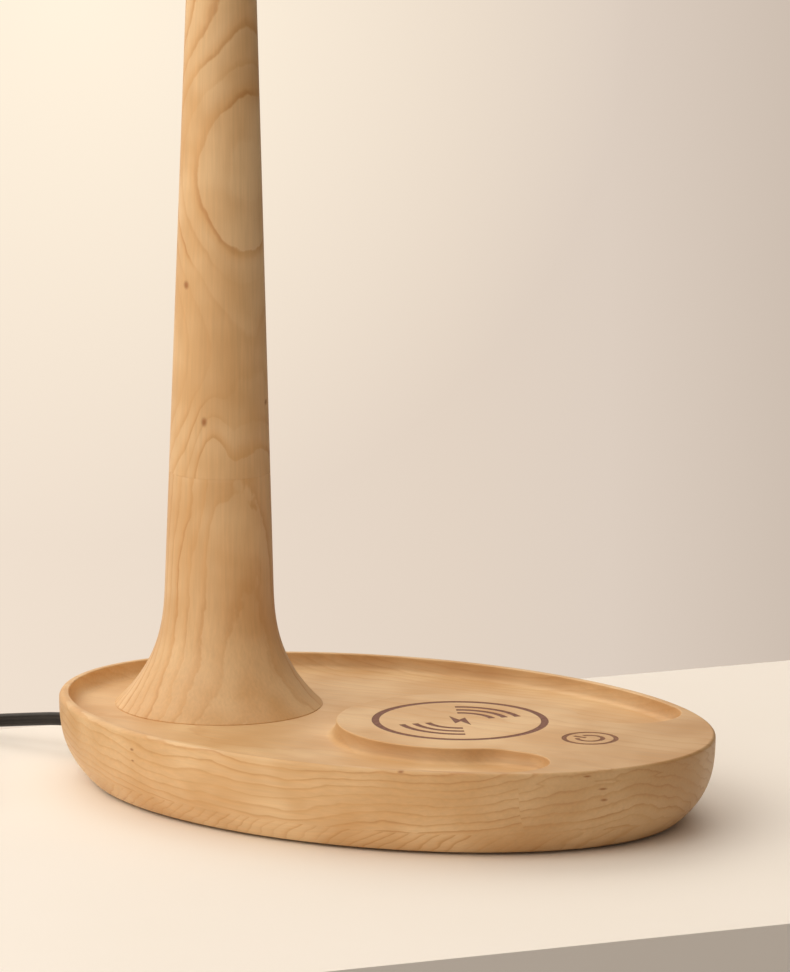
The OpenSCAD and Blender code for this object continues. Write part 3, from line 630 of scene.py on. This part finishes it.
def half_case(low_z, high_z, outer_z, seam_z):
    """A box with rounded upright edges, soft edges at outer_z and fine ones at seam_z."""
    low, high = (*ADAPTER_LOW[:2], low_z), (*ADAPTER_HIGH[:2], high_z)
    shape = bmesh.new()
    bmesh.ops.create_cube(shape, size=1)
    for v in shape.verts:
        v.co = [MM * (a + (b - a) * (c + 0.5)) for a, b, c in zip(low, high, v.co)]
    soften(shape, [e for e in shape.edges if abs(e.verts[0].co.z - e.verts[1].co.z) > MM], UPRIGHT_ROUND, 8)
    for z, radius, segments in ((outer_z, OUTER_ROUND, 6), (seam_z, SEAM_ROUND, 2)):
        level = [e for e in shape.edges if all(abs(v.co.z - z * MM) < 1e-6 for v in e.verts)]
        soften(shape, level, radius, segments)
    return shape


def make_adapter():
    """Two half cases with a fine seam between them."""
    bottom, top = ADAPTER_LOW[2], ADAPTER_HIGH[2]
    lower_seam, upper_seam = ADAPTER_SEAM
    made = []
    for name, shape in (("adapter_lower", half_case(bottom, lower_seam, bottom, lower_seam)),
                        ("adapter_upper", half_case(upper_seam, top, top, upper_seam))):
        piece = shaped_piece(name, shape)
        smooth(piece, 40)
        weighted(piece)
        stand_in(piece, "power_lead", "adapter_plastic", name + "_case")
        made.append(piece)
    return made


BASE = make_base()
CHARGE_MARK = make_mark("charge_mark_burnt", charge_shapes, "charge_mark", "engraving")
TOUCH_MARK = make_mark("touch_mark_burnt", touch_shapes, "touch_mark", "touch_engraving")
STEM_LOWER, STEM_UPPER = make_stem()
CORD, CORD_LINE = make_cord()
PLUG = make_plug()
ADAPTER_CASES = make_adapter()

# ---------------------------------------------------------------- materials


def linear(*srgb):
    """Linear colour from sRGB numbers, of which 255 is white."""
    values = [c / 255 for c in srgb]
    return tuple(c / 12.92 if c <= 0.04045 else ((c + 0.055) / 1.055) ** 2.4 for c in values) + (1,)


class Nodes:
    """Shader nodes in one tree, with short names for what is used often."""

    def __init__(self, tree):
        self.tree = tree
        tree.nodes.clear()

    def put(self, socket, value):
        if isinstance(value, bpy.types.NodeSocket):
            self.tree.links.new(value, socket)
        else:
            socket.default_value = value

    def new(self, kind, *inputs, **settings):
        """A node with these settings, and with its first sockets linked or set."""
        node = self.tree.nodes.new(kind)
        for name, value in settings.items():
            setattr(node, name, value)
        for socket, value in zip(node.inputs, inputs):
            self.put(socket, value)
        return node

    def math(self, kind, *values):
        return self.new("ShaderNodeMath", *values, operation=kind).outputs[0]

    def product(self, first, *others):
        for other in others:
            first = self.math("MULTIPLY", first, other)
        return first

    def radius(self, x, y):
        return self.math("SQRT", self.math("ADD", self.product(x, x), self.product(y, y)))

    def scaled(self, vector, scale, offset=(0, 0, 0)):
        return self.new("ShaderNodeVectorMath", vector, scale, offset, operation="MULTIPLY_ADD").outputs[0]

    def length(self, vector):
        return self.new("ShaderNodeVectorMath", vector, operation="LENGTH").outputs["Value"]

    def split(self, vector):
        return self.new("ShaderNodeSeparateXYZ", vector).outputs

    def join(self, x, y, z):
        return self.new("ShaderNodeCombineXYZ", x, y, z).outputs[0]

    def step(self, value, low, high, start=0.0, end=1.0, kind="SMOOTHSTEP"):
        """From start to end while value goes from low to high."""
        node = self.new("ShaderNodeMapRange", value, low, high, start, end, interpolation_type=kind)
        return node.outputs[0]

    def mix(self, factor, a, b, kind="MIX"):
        node = self.new("ShaderNodeMix", factor, data_type="RGBA", blend_type=kind, clamp_factor=True)
        self.put(node.inputs[6], a)
        self.put(node.inputs[7], b)
        return node.outputs[2]


class Finish(Nodes):
    """The nodes of one material. place is the place on the object in millimetres."""

    def __init__(self, name):
        self.material = bpy.data.materials.new(name)
        self.material.use_nodes = True
        super().__init__(self.material.node_tree)
        self.shader = self.new("ShaderNodeBsdfPrincipled")
        self.new("ShaderNodeOutputMaterial", self.shader.outputs[0])
        self.place = self.scaled(self.new("ShaderNodeTexCoord").outputs["Object"], (1 / MM,) * 3)

    def set(self, name, value):
        self.put(self.shader.inputs[name], value)

    def near(self, scale, offset=(0, 0, 0)):
        return self.scaled(self.place, scale, offset)

    def noise(self, vector, detail=2.0, roughness=0.5):
        node = self.new("ShaderNodeTexNoise")
        for name, value in (("Vector", vector), ("Scale", 1), ("Detail", detail), ("Roughness", roughness)):
            self.put(node.inputs[name], value)
        return node.outputs[0]

    def random(self, value, seed):
        place = self.join(value, seed, 0)
        return self.new("ShaderNodeTexWhiteNoise", place, noise_dimensions="2D").outputs[0]

    def curve(self, value, stops):
        """A smooth curve through (value, result) stops."""
        result = stops[0][1]
        for (low, before), (high, after) in zip(stops, stops[1:]):
            result = self.math("ADD", self.step(value, low, high, 0, after - before), result)
        return result

    def distance(self, centre, radii):
        """Distance from a centre, as a share of radii along X, Y and Z."""
        return self.length(self.near([1 / r for r in radii], [-c / r for c, r in zip(centre, radii)]))

    def swings(self, kinds, seed):
        """Noise from about -1 to 1 for each (scale, detail, where the seed moves it) of kinds."""
        made = []
        for scale, detail, moves in kinds:
            cloud = self.noise(self.near(scale, [seed * move for move in moves]), detail)
            made.append(self.math("MULTIPLY_ADD", cloud, 2.6, -1.3))
        return made

    def swung(self, field, swings, amounts):
        for swing, amount in zip(swings, amounts):
            field = self.math("MULTIPLY_ADD", swing, amount, field)
        return field

    def bump(self, height, strength, distance):
        node = self.new("ShaderNodeBump")
        for name, value in (("Strength", strength), ("Distance", distance * MM), ("Height", height)):
            self.put(node.inputs[name], value)
        self.set("Normal", node.outputs[0])


WOOD_PALE = linear(235, 202, 156)
WOOD_DEEP = linear(216, 174, 122)
WOOD_GLOW = linear(214, 160, 96)
WOOD_LINE = linear(184, 122, 62)
FLECK = linear(150, 86, 32)
# Multiplied in as painted shade in the base's cove, and to darken the base towards its charging end
PAINTED_SHADE_AND_DARK_END_TINT = linear(232, 226, 218)
# Where in a growth ring its soft and its fine dark part come up, and where both end
SOFT_RISE, FINE_RISE, RING_END = (0.3, 0.9), (0.68, 0.92), (0.91, 1.0)


def wood_finish(g, field, spacing, along, across, seed, lines, flecks=(), shade=0.0):
    """Wood with a growth ring at each step of field, which is in millimetres.

    along and across are places scaled so that noise follows the grain. lines is how strongly the rings
    show, flecks are (centre, radii) of small dark marks, and shade is how far the colour is darkened: painted
    shade in the base's cove, and darker towards its charging end."""
    rings = g.math("DIVIDE", field, spacing)
    ring = g.math("FLOOR", rings)
    part = g.math("SUBTRACT", rings, ring)
    strength = g.product(g.step(g.random(ring, seed), 0, 1, 0.3, 1, "LINEAR"), lines)
    fall = g.step(part, *RING_END, 1, 0)
    patchy = g.step(g.noise(g.scaled(along, (1, 1, 1), (seed, 3, 7))), 0.35, 0.65, 0.12, 1)
    fine = g.product(g.step(part, *FINE_RISE), fall, strength, patchy)
    soft = g.product(g.step(part, *SOFT_RISE), fall, strength)
    tone = g.random(ring, seed + 11)
    blotch = g.noise(g.near((0.03, 0.03, 0.03), (seed, 0, 0)))
    fibre = g.noise(across, 3, 0.6)
    base = g.mix(g.step(blotch, 0.3, 0.7), WOOD_PALE, WOOD_DEEP)
    for factor, colour in ((g.product(tone, 0.25), WOOD_DEEP), (g.product(soft, 0.5), WOOD_GLOW),
                           (g.product(fine, 0.6), WOOD_LINE)):
        base = g.mix(factor, base, colour)
    streak = g.step(fibre, 0.25, 0.75, 0.93, 1.05, "LINEAR")
    base = g.mix(1.0, base, g.join(streak, streak, streak), "MULTIPLY")
    # Painted shade in the cove, and the darker charging end, multiplied into the colour
    base = g.mix(shade, base, PAINTED_SHADE_AND_DARK_END_TINT, "MULTIPLY")
    for centre, radii in flecks:
        base = g.mix(g.step(g.distance(centre, radii), 0.2, 1.2, 0.75, 0), base, FLECK)
    g.set("Base Color", base)
    g.set("Roughness", g.step(fibre, 0.2, 0.8, 0.40, 0.52, "LINEAR"))
    g.set("Specular IOR Level", 0.45)
    g.bump(fibre, 0.12, 0.12)


# Slow, middle and small swings of the rings: scale, detail, and where the seed moves them
STEM_SWINGS = [((0.022, 0.022, 0.012), 1, (1, 1, 0)), ((0.09, 0.09, 0.05), 2, (0, 1, 0)),
               ((0.35, 0.35, 0.22), 2, (0, 0, 1))]
BASE_SWINGS = [((0.011, 0.02, 0.02), 1, (1, 0, 0)), ((0.03, 0.08, 0.08), 2, (0, 1, 0)),
               ((0.12, 0.3, 0.3), 2, (0, 0, 1))]
# How far each swing moves the rings, in millimetres
STEM_SWING, BASE_SWING = (2.4, 1.5, 0.5), (6.0, 2.0, 0.5)


def stem_wood(name, seed, depth, turn, spacing, offset, wave, follow, heights, quiet, bulges, flecks):
    """Grain that runs up the stem. The growth rings' axis lies depth millimetres behind the side that
    faces turn degrees. wave is (height, amplitude, length) of a slow swing of that axis, and follow is how
    far the rings bend out with the foot. heights are (height, strength) of the rings, and quiet is what
    is left of them inside the innermost. bulges are (centre, radii, amount) of local swellings."""
    g = Finish(name)
    way = (math.cos(math.radians(turn)), math.sin(math.radians(turn)))
    x, y, z = g.split(g.near((1, 1, 1), (-STEM_X + depth * way[0], depth * way[1], 0)))
    field = g.math("SUBTRACT", g.radius(x, y), depth + offset)
    height, amplitude, length = wave
    turned = g.math("MULTIPLY_ADD", z, 2 * math.pi / length, -2 * math.pi * height / length)
    field = g.math("MULTIPLY_ADD", g.math("COSINE", turned), amplitude, field)
    flare = g.math("POWER", g.step(z, TRAY_FLOOR, TRAY_FLOOR + FLARE_HEIGHT, 1, 0, "LINEAR"), FLARE_POWER)
    field = g.math("MULTIPLY_ADD", flare, -follow * FLARE_SPREAD, field)
    for centre, radii, amount in bulges:
        field = g.math("ADD", field, g.step(g.distance(centre, radii), 0, 1, amount, 0))
    field = g.swung(field, g.swings(STEM_SWINGS, seed), STEM_SWING)
    lines = g.product(g.curve(z, heights), g.step(field, 0.5, 4, 1, quiet))
    wood_finish(g, field, spacing, g.near((0.05, 0.05, 0.02)), g.near((0.9, 0.9, 0.03)), seed, lines, flecks)
    return g.material


# Small dark marks: turn round the oval or the stem in degrees, height, half length and half height
BASE_FLECKS = [(-117, 28, 1.3, 0.7), (-117, 23.5, 1.0, 0.5), (-27.5, 27.5, 1.6, 0.6), (-27, 23, 1.2, 0.7),
               (-31, 33, 1.4, 0.5), (-65, 34.7, 1.4, 0.6)]
STEM_FLECKS = [(-108, 201, 1.2, 2.0), (-77, 147, 0.9, 2.2), (13, 153, 1.2, 1.5)]
FLECK_DEPTH = 3


def base_flecks():
    """Centres and radii of the marks on the base's wall, which are longest along the base."""
    made = []
    for turn, height, along, up in BASE_FLECKS:
        t = math.radians(turn)
        share = wall_share(height)
        place = (HALF_LENGTH * share * math.cos(t), HALF_WIDTH * share * math.sin(t), height)
        made.append((place, (along, FLECK_DEPTH, up)))
    return made


def stem_flecks():
    """Centres and radii of the marks on the stem, which are deepest towards its axis."""
    made = []
    for turn, height, along, up in STEM_FLECKS:
        t = math.radians(turn)
        r = stem_radius(height)
        place = (STEM_X + r * math.cos(t), r * math.sin(t), height)
        wide = [along + (FLECK_DEPTH - along) * abs(f(t)) for f in (math.cos, math.sin)]
        made.append((place, (*wide, up)))
    return made


# The axis of the base's growth rings, and how far apart they are
RING_AXIS_Y, RING_AXIS_Z, RING_SPACING = -38, -96, 3.6
# Two boards meet at a seam in the wall, where the rings shift
BOARD_SEAM_X, BOARD_SEAM_TOP, BOARD_SHIFT = 99.9, 30, 1.7
# The top of the layer glued on below, and how its rings lie along X and Z
LAYER_Z, LAYER_LEAN, LAYER_SWING = 9.7, (0.62, -0.9), 3.0
# The rings show less on the top, from the first to the second height
WALL_LINES, TOP_LINES_LESS, TOP_STARTS = 0.75, 0.4, (27, 28.5)
# The fainter rings of the top, and the painted shade in the cove, end between these shares of the base's oval
TOP_ENDS, PAINTED_COVE_SHADE_ENDS = (0.965, 0.99), (0.965, 0.98)
# The colour darkens from the first to the second place along the base
DARK_END = (62, 122)


def base_wood(name, seed):
    """Grain that runs along the base, with a glued layer of crossing grain at the bottom. Shade is painted
    onto the cove's walls that face the front, and the colour darkens towards the charging end."""
    g = Finish(name)
    x, y, z = g.split(g.place)
    swings = g.swings(BASE_SWINGS, seed)
    far = g.radius(g.math("SUBTRACT", y, RING_AXIS_Y), g.math("SUBTRACT", z, RING_AXIS_Z))
    field = g.swung(far, swings, BASE_SWING)
    beside = g.product(g.step(x, BOARD_SEAM_X - 0.1, BOARD_SEAM_X + 0.1),
                       g.step(z, BOARD_SEAM_TOP, BOARD_SEAM_TOP + 1, 1, 0))
    field = g.math("MULTIPLY_ADD", beside, BOARD_SHIFT, field)
    lean_x, lean_z = LAYER_LEAN
    crossing = g.math("ADD", g.product(x, lean_x), g.product(z, lean_z))
    crossing = g.math("MULTIPLY_ADD", swings[1], LAYER_SWING, crossing)
    layer = g.step(z, LAYER_Z - 0.1, LAYER_Z + 0.1, 1, 0)
    field = g.math("ADD", g.product(field, g.math("SUBTRACT", 1, layer)), g.product(crossing, layer))
    inside = g.distance((0, 0, TOP), (HALF_LENGTH, HALF_WIDTH, 1e3))
    on_top = g.product(g.step(inside, *TOP_ENDS, 1, 0), g.step(z, *TOP_STARTS))
    lines = g.math("MULTIPLY_ADD", on_top, -TOP_LINES_LESS, WALL_LINES)
    facing = g.split(g.new("ShaderNodeNewGeometry").outputs["Normal"])[1]
    # Painted shade: the cove's walls that face the front, between its floor and the rim, are darkened as if
    # in shadow
    cove = g.product(g.step(z, TRAY_FLOOR + 0.4, TRAY_FLOOR + 1.8), g.step(z, TOP - 0.5, TOP - 0.1, 1, 0),
                     g.step(inside, *PAINTED_COVE_SHADE_ENDS, 1, 0), g.step(facing, -0.75, -0.1, 1, 0))
    # Painted shade in the cove, together with the darker charging end
    shade = g.math("MAXIMUM", cove, g.step(x, *DARK_END))
    wood_finish(g, field, RING_SPACING, g.near((0.02, 0.05, 0.05)), g.near((0.03, 0.9, 0.9)), seed, lines,
                base_flecks(), shade)
    return g.material


def plain(name, colour, second, roughness, metallic=0.0, scale=0.4, bump=0.0):
    """A material of one colour that varies a little."""
    g = Finish(name)
    cloud = g.noise(g.near((scale,) * 3), 4, 0.6)
    g.set("Base Color", g.mix(g.step(cloud, 0.3, 0.7), linear(*colour), linear(*second)))
    g.set("Roughness", g.step(cloud, 0.2, 0.8, roughness - 0.05, roughness + 0.06, "LINEAR"))
    g.set("Metallic", metallic)
    if bump:
        g.bump(g.noise(g.near((6,) * 3)), bump, 0.05)
    return g.material


# For each slot: two sRGB colours, the roughness, and what else isn't as usual
METAL = dict(metallic=1.0, scale=1.5)
PLAIN_FINISHES = {
    "engraving": ((138, 97, 82), (118, 78, 64), 0.75, dict(scale=0.6)),
    "touch_engraving": ((144, 102, 76), (124, 84, 60), 0.75, dict(scale=0.6)),
    "beech": ((214, 176, 134), (200, 158, 116), 0.6, {}),
    "steel": ((196, 196, 198), (176, 177, 180), 0.32, METAL),
    "brass": ((214, 176, 100), (196, 156, 84), 0.3, METAL),
    "nickel": ((206, 202, 194), (188, 184, 178), 0.22, METAL),
    "copper": ((200, 120, 78), (176, 98, 62), 0.35, METAL),
    "cast_iron": ((86, 88, 92), (66, 68, 72), 0.6, dict(bump=0.3)),
    "ferrite": ((58, 58, 62), (46, 46, 50), 0.6, {}),
    "black_plastic": ((38, 38, 40), (30, 30, 32), 0.5, {}),
    "cover_plastic": ((46, 44, 42), (38, 36, 35), 0.6, dict(bump=0.25)),
    "white_plastic": ((236, 234, 228), (226, 224, 217), 0.5, {}),
    "circuit_board": ((34, 98, 62), (26, 84, 52), 0.42, dict(scale=0.8)),
    "capacitor_can": ((60, 66, 92), (48, 54, 78), 0.4, {}),
    "wire_sheath": ((40, 38, 38), (30, 29, 29), 0.5, {}),
    "cord_vinyl": ((44, 41, 38), (35, 33, 31), 0.42, dict(scale=0.2)),
    "rubber": ((40, 38, 37), (32, 30, 30), 0.8, dict(bump=0.3)),
    "tie_strap": ((54, 52, 52), (40, 38, 38), 0.85, dict(scale=1.2, bump=0.6)),
    "adapter_plastic": ((42, 41, 41), (34, 33, 33), 0.55, dict(bump=0.3)),
    "transformer_tape": ((216, 176, 60), (198, 156, 48), 0.45, {}),
}
SLOT_OF_NODE = {
    "beech": ["stem_dowels"],
    "brass": ["stem_insert", "head_ferrule"],
    "steel": ["stem_rod", "stem_washer", "stem_nut", "counterweight_screws", "cover_screws", "carrier_screws",
              "board_screws", "touch_screws", "jack_bracket", "bracket_screws"],
    "black_plastic": ["head_connector", "board_chips", "dc_jack"],
    "cast_iron": ["counterweight"],
    "cover_plastic": ["bottom_cover"],
    "rubber": ["rubber_feet"],
    "white_plastic": ["coil_carrier", "board_connectors"],
    "ferrite": ["ferrite_disc"],
    "copper": ["charge_coil", "coil_leads", "touch_spring"],
    "circuit_board": ["charger_board", "touch_board", "adapter_board"],
    "capacitor_can": ["board_capacitors"],
    "wire_sheath": ["input_wires", "stem_wires", "touch_wires"],
    "nickel": ["jack_pin", "plug_barrel", "adapter_blades"],
    "cord_vinyl": ["plug_body", "cord_run_base", "cord_coil", "cord_run_adapter", "adapter_relief"],
    "tie_strap": ["coil_tie"],
    "adapter_plastic": ["adapter_lower_case", "adapter_upper_case"],
    "transformer_tape": ["adapter_transformer"],
    "engraving": ["charge_mark"],
    "touch_engraving": ["touch_mark"],
}


def paint(material, *pieces):
    for piece in pieces:
        piece.data.materials.clear()
        piece.data.materials.append(material)


FINISH = {}
for slot, (colour, second, roughness, rest) in PLAIN_FINISHES.items():
    FINISH[slot] = plain(slot, colour, second, roughness, **rest)
for slot, names in SLOT_OF_NODE.items():
    paint(FINISH[slot], *[NODES[name] for name in names])
paint(base_wood("maple_base", 4.0), NODES["base_body"], NODES["stem_lower"], NODES["stem_upper"], BASE)
paint(stem_wood(
    "maple_stem_lower",
    seed=9.0,
    depth=55,
    turn=-30,
    spacing=4.4,
    offset=24,
    wave=(60, 2.5, 170),
    follow=0.75,
    heights=[(0, 0.9), (200, 0.9)],
    quiet=1.0,
    bulges=[((-66, -18, 100), (10, 10, 26), 3.5)],
    flecks=[],
), STEM_LOWER)
paint(stem_wood(
    "maple_stem_upper",
    seed=2.0,
    depth=60,
    turn=-15,
    spacing=8.0,
    offset=21,
    wave=(248, 15.5, 150),
    follow=0,
    heights=[(145, 0.9), (160, 0.2), (206, 0.2), (216, 1)],
    quiet=0.1,
    bulges=[((-70, -20, 136), (12, 12, 34), 11)],
    flecks=stem_flecks(),
), STEM_UPPER)
paint(FINISH["engraving"], CHARGE_MARK)
paint(FINISH["touch_engraving"], TOUCH_MARK)
paint(FINISH["cord_vinyl"], CORD, PLUG)
paint(FINISH["adapter_plastic"], *ADAPTER_CASES)

# ---------------------------------------------------------------- desk and light
DESK_TURN = math.radians(53.9)
DESK_BACK, DESK_FRONT = -166.3, 243.3
DESK_THICK, DESK_REACH = 60, 1400
# To the left of this place the desk is wider at the back, outside the view
DESK_CORNER, DESK_CUT, DESK_LEFT, DESK_WIDER = -151, 300, 1200, 500


def make_desk():
    """A pale desk, whose back and front edges lie across the view."""
    along = Vector((math.cos(DESK_TURN), math.sin(DESK_TURN)))
    across = Vector((math.sin(DESK_TURN), -math.cos(DESK_TURN)))
    wide_back, left_end = DESK_BACK - DESK_WIDER, DESK_CORNER - DESK_LEFT
    corners = [(DESK_REACH, DESK_BACK), (DESK_CORNER, DESK_BACK), (DESK_CORNER - DESK_CUT, wide_back),
               (left_end, wide_back), (left_end, DESK_FRONT), (DESK_REACH, DESK_FRONT)]
    outline = [along * far + across * side for far, side in corners]
    desk = new_piece("desk", *prism(outline, -DESK_THICK, 0))
    paint(plain("desk_lacquer", (253, 251, 248), (251, 249, 245), 0.6, scale=0.004), desk)


# Soft lights: name, turn from the view's own direction towards its right, elevation, power in watts
SOFT_LIGHTS = [
    ("left_front", -45, 43, 6.3),
    ("left", -90, 35, 4.0),
    ("left_back", -135, 40, 3.8),
    ("back", 180, 50, 4.4),
    ("right", 70, 72, 2.6),
]
LIGHT_AIM, LIGHT_DISTANCE, LIGHT_SIZE = Vector((0, 0, 0.06)), 1.6, 1.4
LIGHT_COLOUR = linear(255, 246, 232)


def make_lights():
    for name, turn, elevation, power in SOFT_LIGHTS:
        heading = CAMERA_AZIMUTH + math.radians(turn)
        rise = math.radians(elevation)
        level = math.cos(rise)
        way = Vector((math.sin(heading) * level, -math.cos(heading) * level, math.sin(rise)))
        data = bpy.data.lights.new(name, "AREA")
        data.shape = "DISK"
        data.size = LIGHT_SIZE
        data.energy = power
        data.color = LIGHT_COLOUR[:3]
        light = bpy.data.objects.new(name, data)
        light.location = LIGHT_AIM + way * LIGHT_DISTANCE
        light.rotation_mode = "QUATERNION"
        light.rotation_quaternion = (-way).to_track_quat("-Z", "Y")
        light.visible_camera = False
        SCENE.collection.objects.link(light)


# Directions of sight are measured by how far they lie along the view's right, up and back.
# The wall darkens across the view, of which HALF_VIEW is half, and glows round GLOW_PLACE
HALF_VIEW = 0.0545
WALL_STOPS = [(0.0, (240, 224, 207)), (0.18, (237, 221, 204)), (0.40, (231, 215, 199)),
              (0.57, (227, 211, 195)), (0.77, (221, 206, 192)), (1.0, (206, 191, 177))]
GLOW_PLACE, GLOW_REACH, GLOW_COLOUR = (-0.045, 0.07), 0.078, (259, 245, 223)
# The share of the wall's light that the room has outside the view, and again to its right
OUTSIDE_VIEW, OUTSIDE_SHARE = (-0.995, -0.985), 0.84
RIGHT_OF_VIEW, RIGHT_SHARE = (0.07, 0.6), 0.2


def make_world():
    """A warm room: the wall behind the object, and darker outside the view."""
    world = bpy.data.worlds.new("room")
    SCENE.world = world
    world.use_nodes = True
    g = Nodes(world.node_tree)
    way = g.new("ShaderNodeTexCoord").outputs["Generated"]

    def along(direction, offset=0.0, reach=1.0):
        """How far the direction of sight lies along another, as a share of reach."""
        dot = g.new("ShaderNodeVectorMath", way, tuple(direction), operation="DOT_PRODUCT")
        return g.math("MULTIPLY_ADD", dot.outputs["Value"], 1 / reach, -offset / reach)

    ramp = g.new("ShaderNodeValToRGB", along(VIEW_RIGHT, -HALF_VIEW, 2 * HALF_VIEW))
    elements = ramp.color_ramp.elements
    for element, (position, colour) in zip(elements, (WALL_STOPS[0], WALL_STOPS[-1])):
        element.position = position
        element.color = linear(*colour)
    for position, colour in WALL_STOPS[1:-1]:
        elements.new(position).color = linear(*colour)
    glow_right, glow_up = GLOW_PLACE
    place = g.join(along(VIEW_RIGHT, glow_right, GLOW_REACH), along(VIEW_UP, glow_up, GLOW_REACH), 0)
    glow = g.step(g.length(place), 0, 1, 1, 0, "LINEAR")
    lit = g.mix(glow, ramp.outputs[0], linear(*GLOW_COLOUR))
    outside = g.step(along(VIEW_BACK), *OUTSIDE_VIEW, 1, OUTSIDE_SHARE, "LINEAR")
    right = g.step(along(VIEW_RIGHT), *RIGHT_OF_VIEW, 1, RIGHT_SHARE, "LINEAR")
    background = g.new("ShaderNodeBackground", lit, g.product(outside, right))
    g.new("ShaderNodeOutputWorld", background.outputs[0])


make_desk()
make_world()
make_lights()
SCENE.view_settings.view_transform = "Standard"
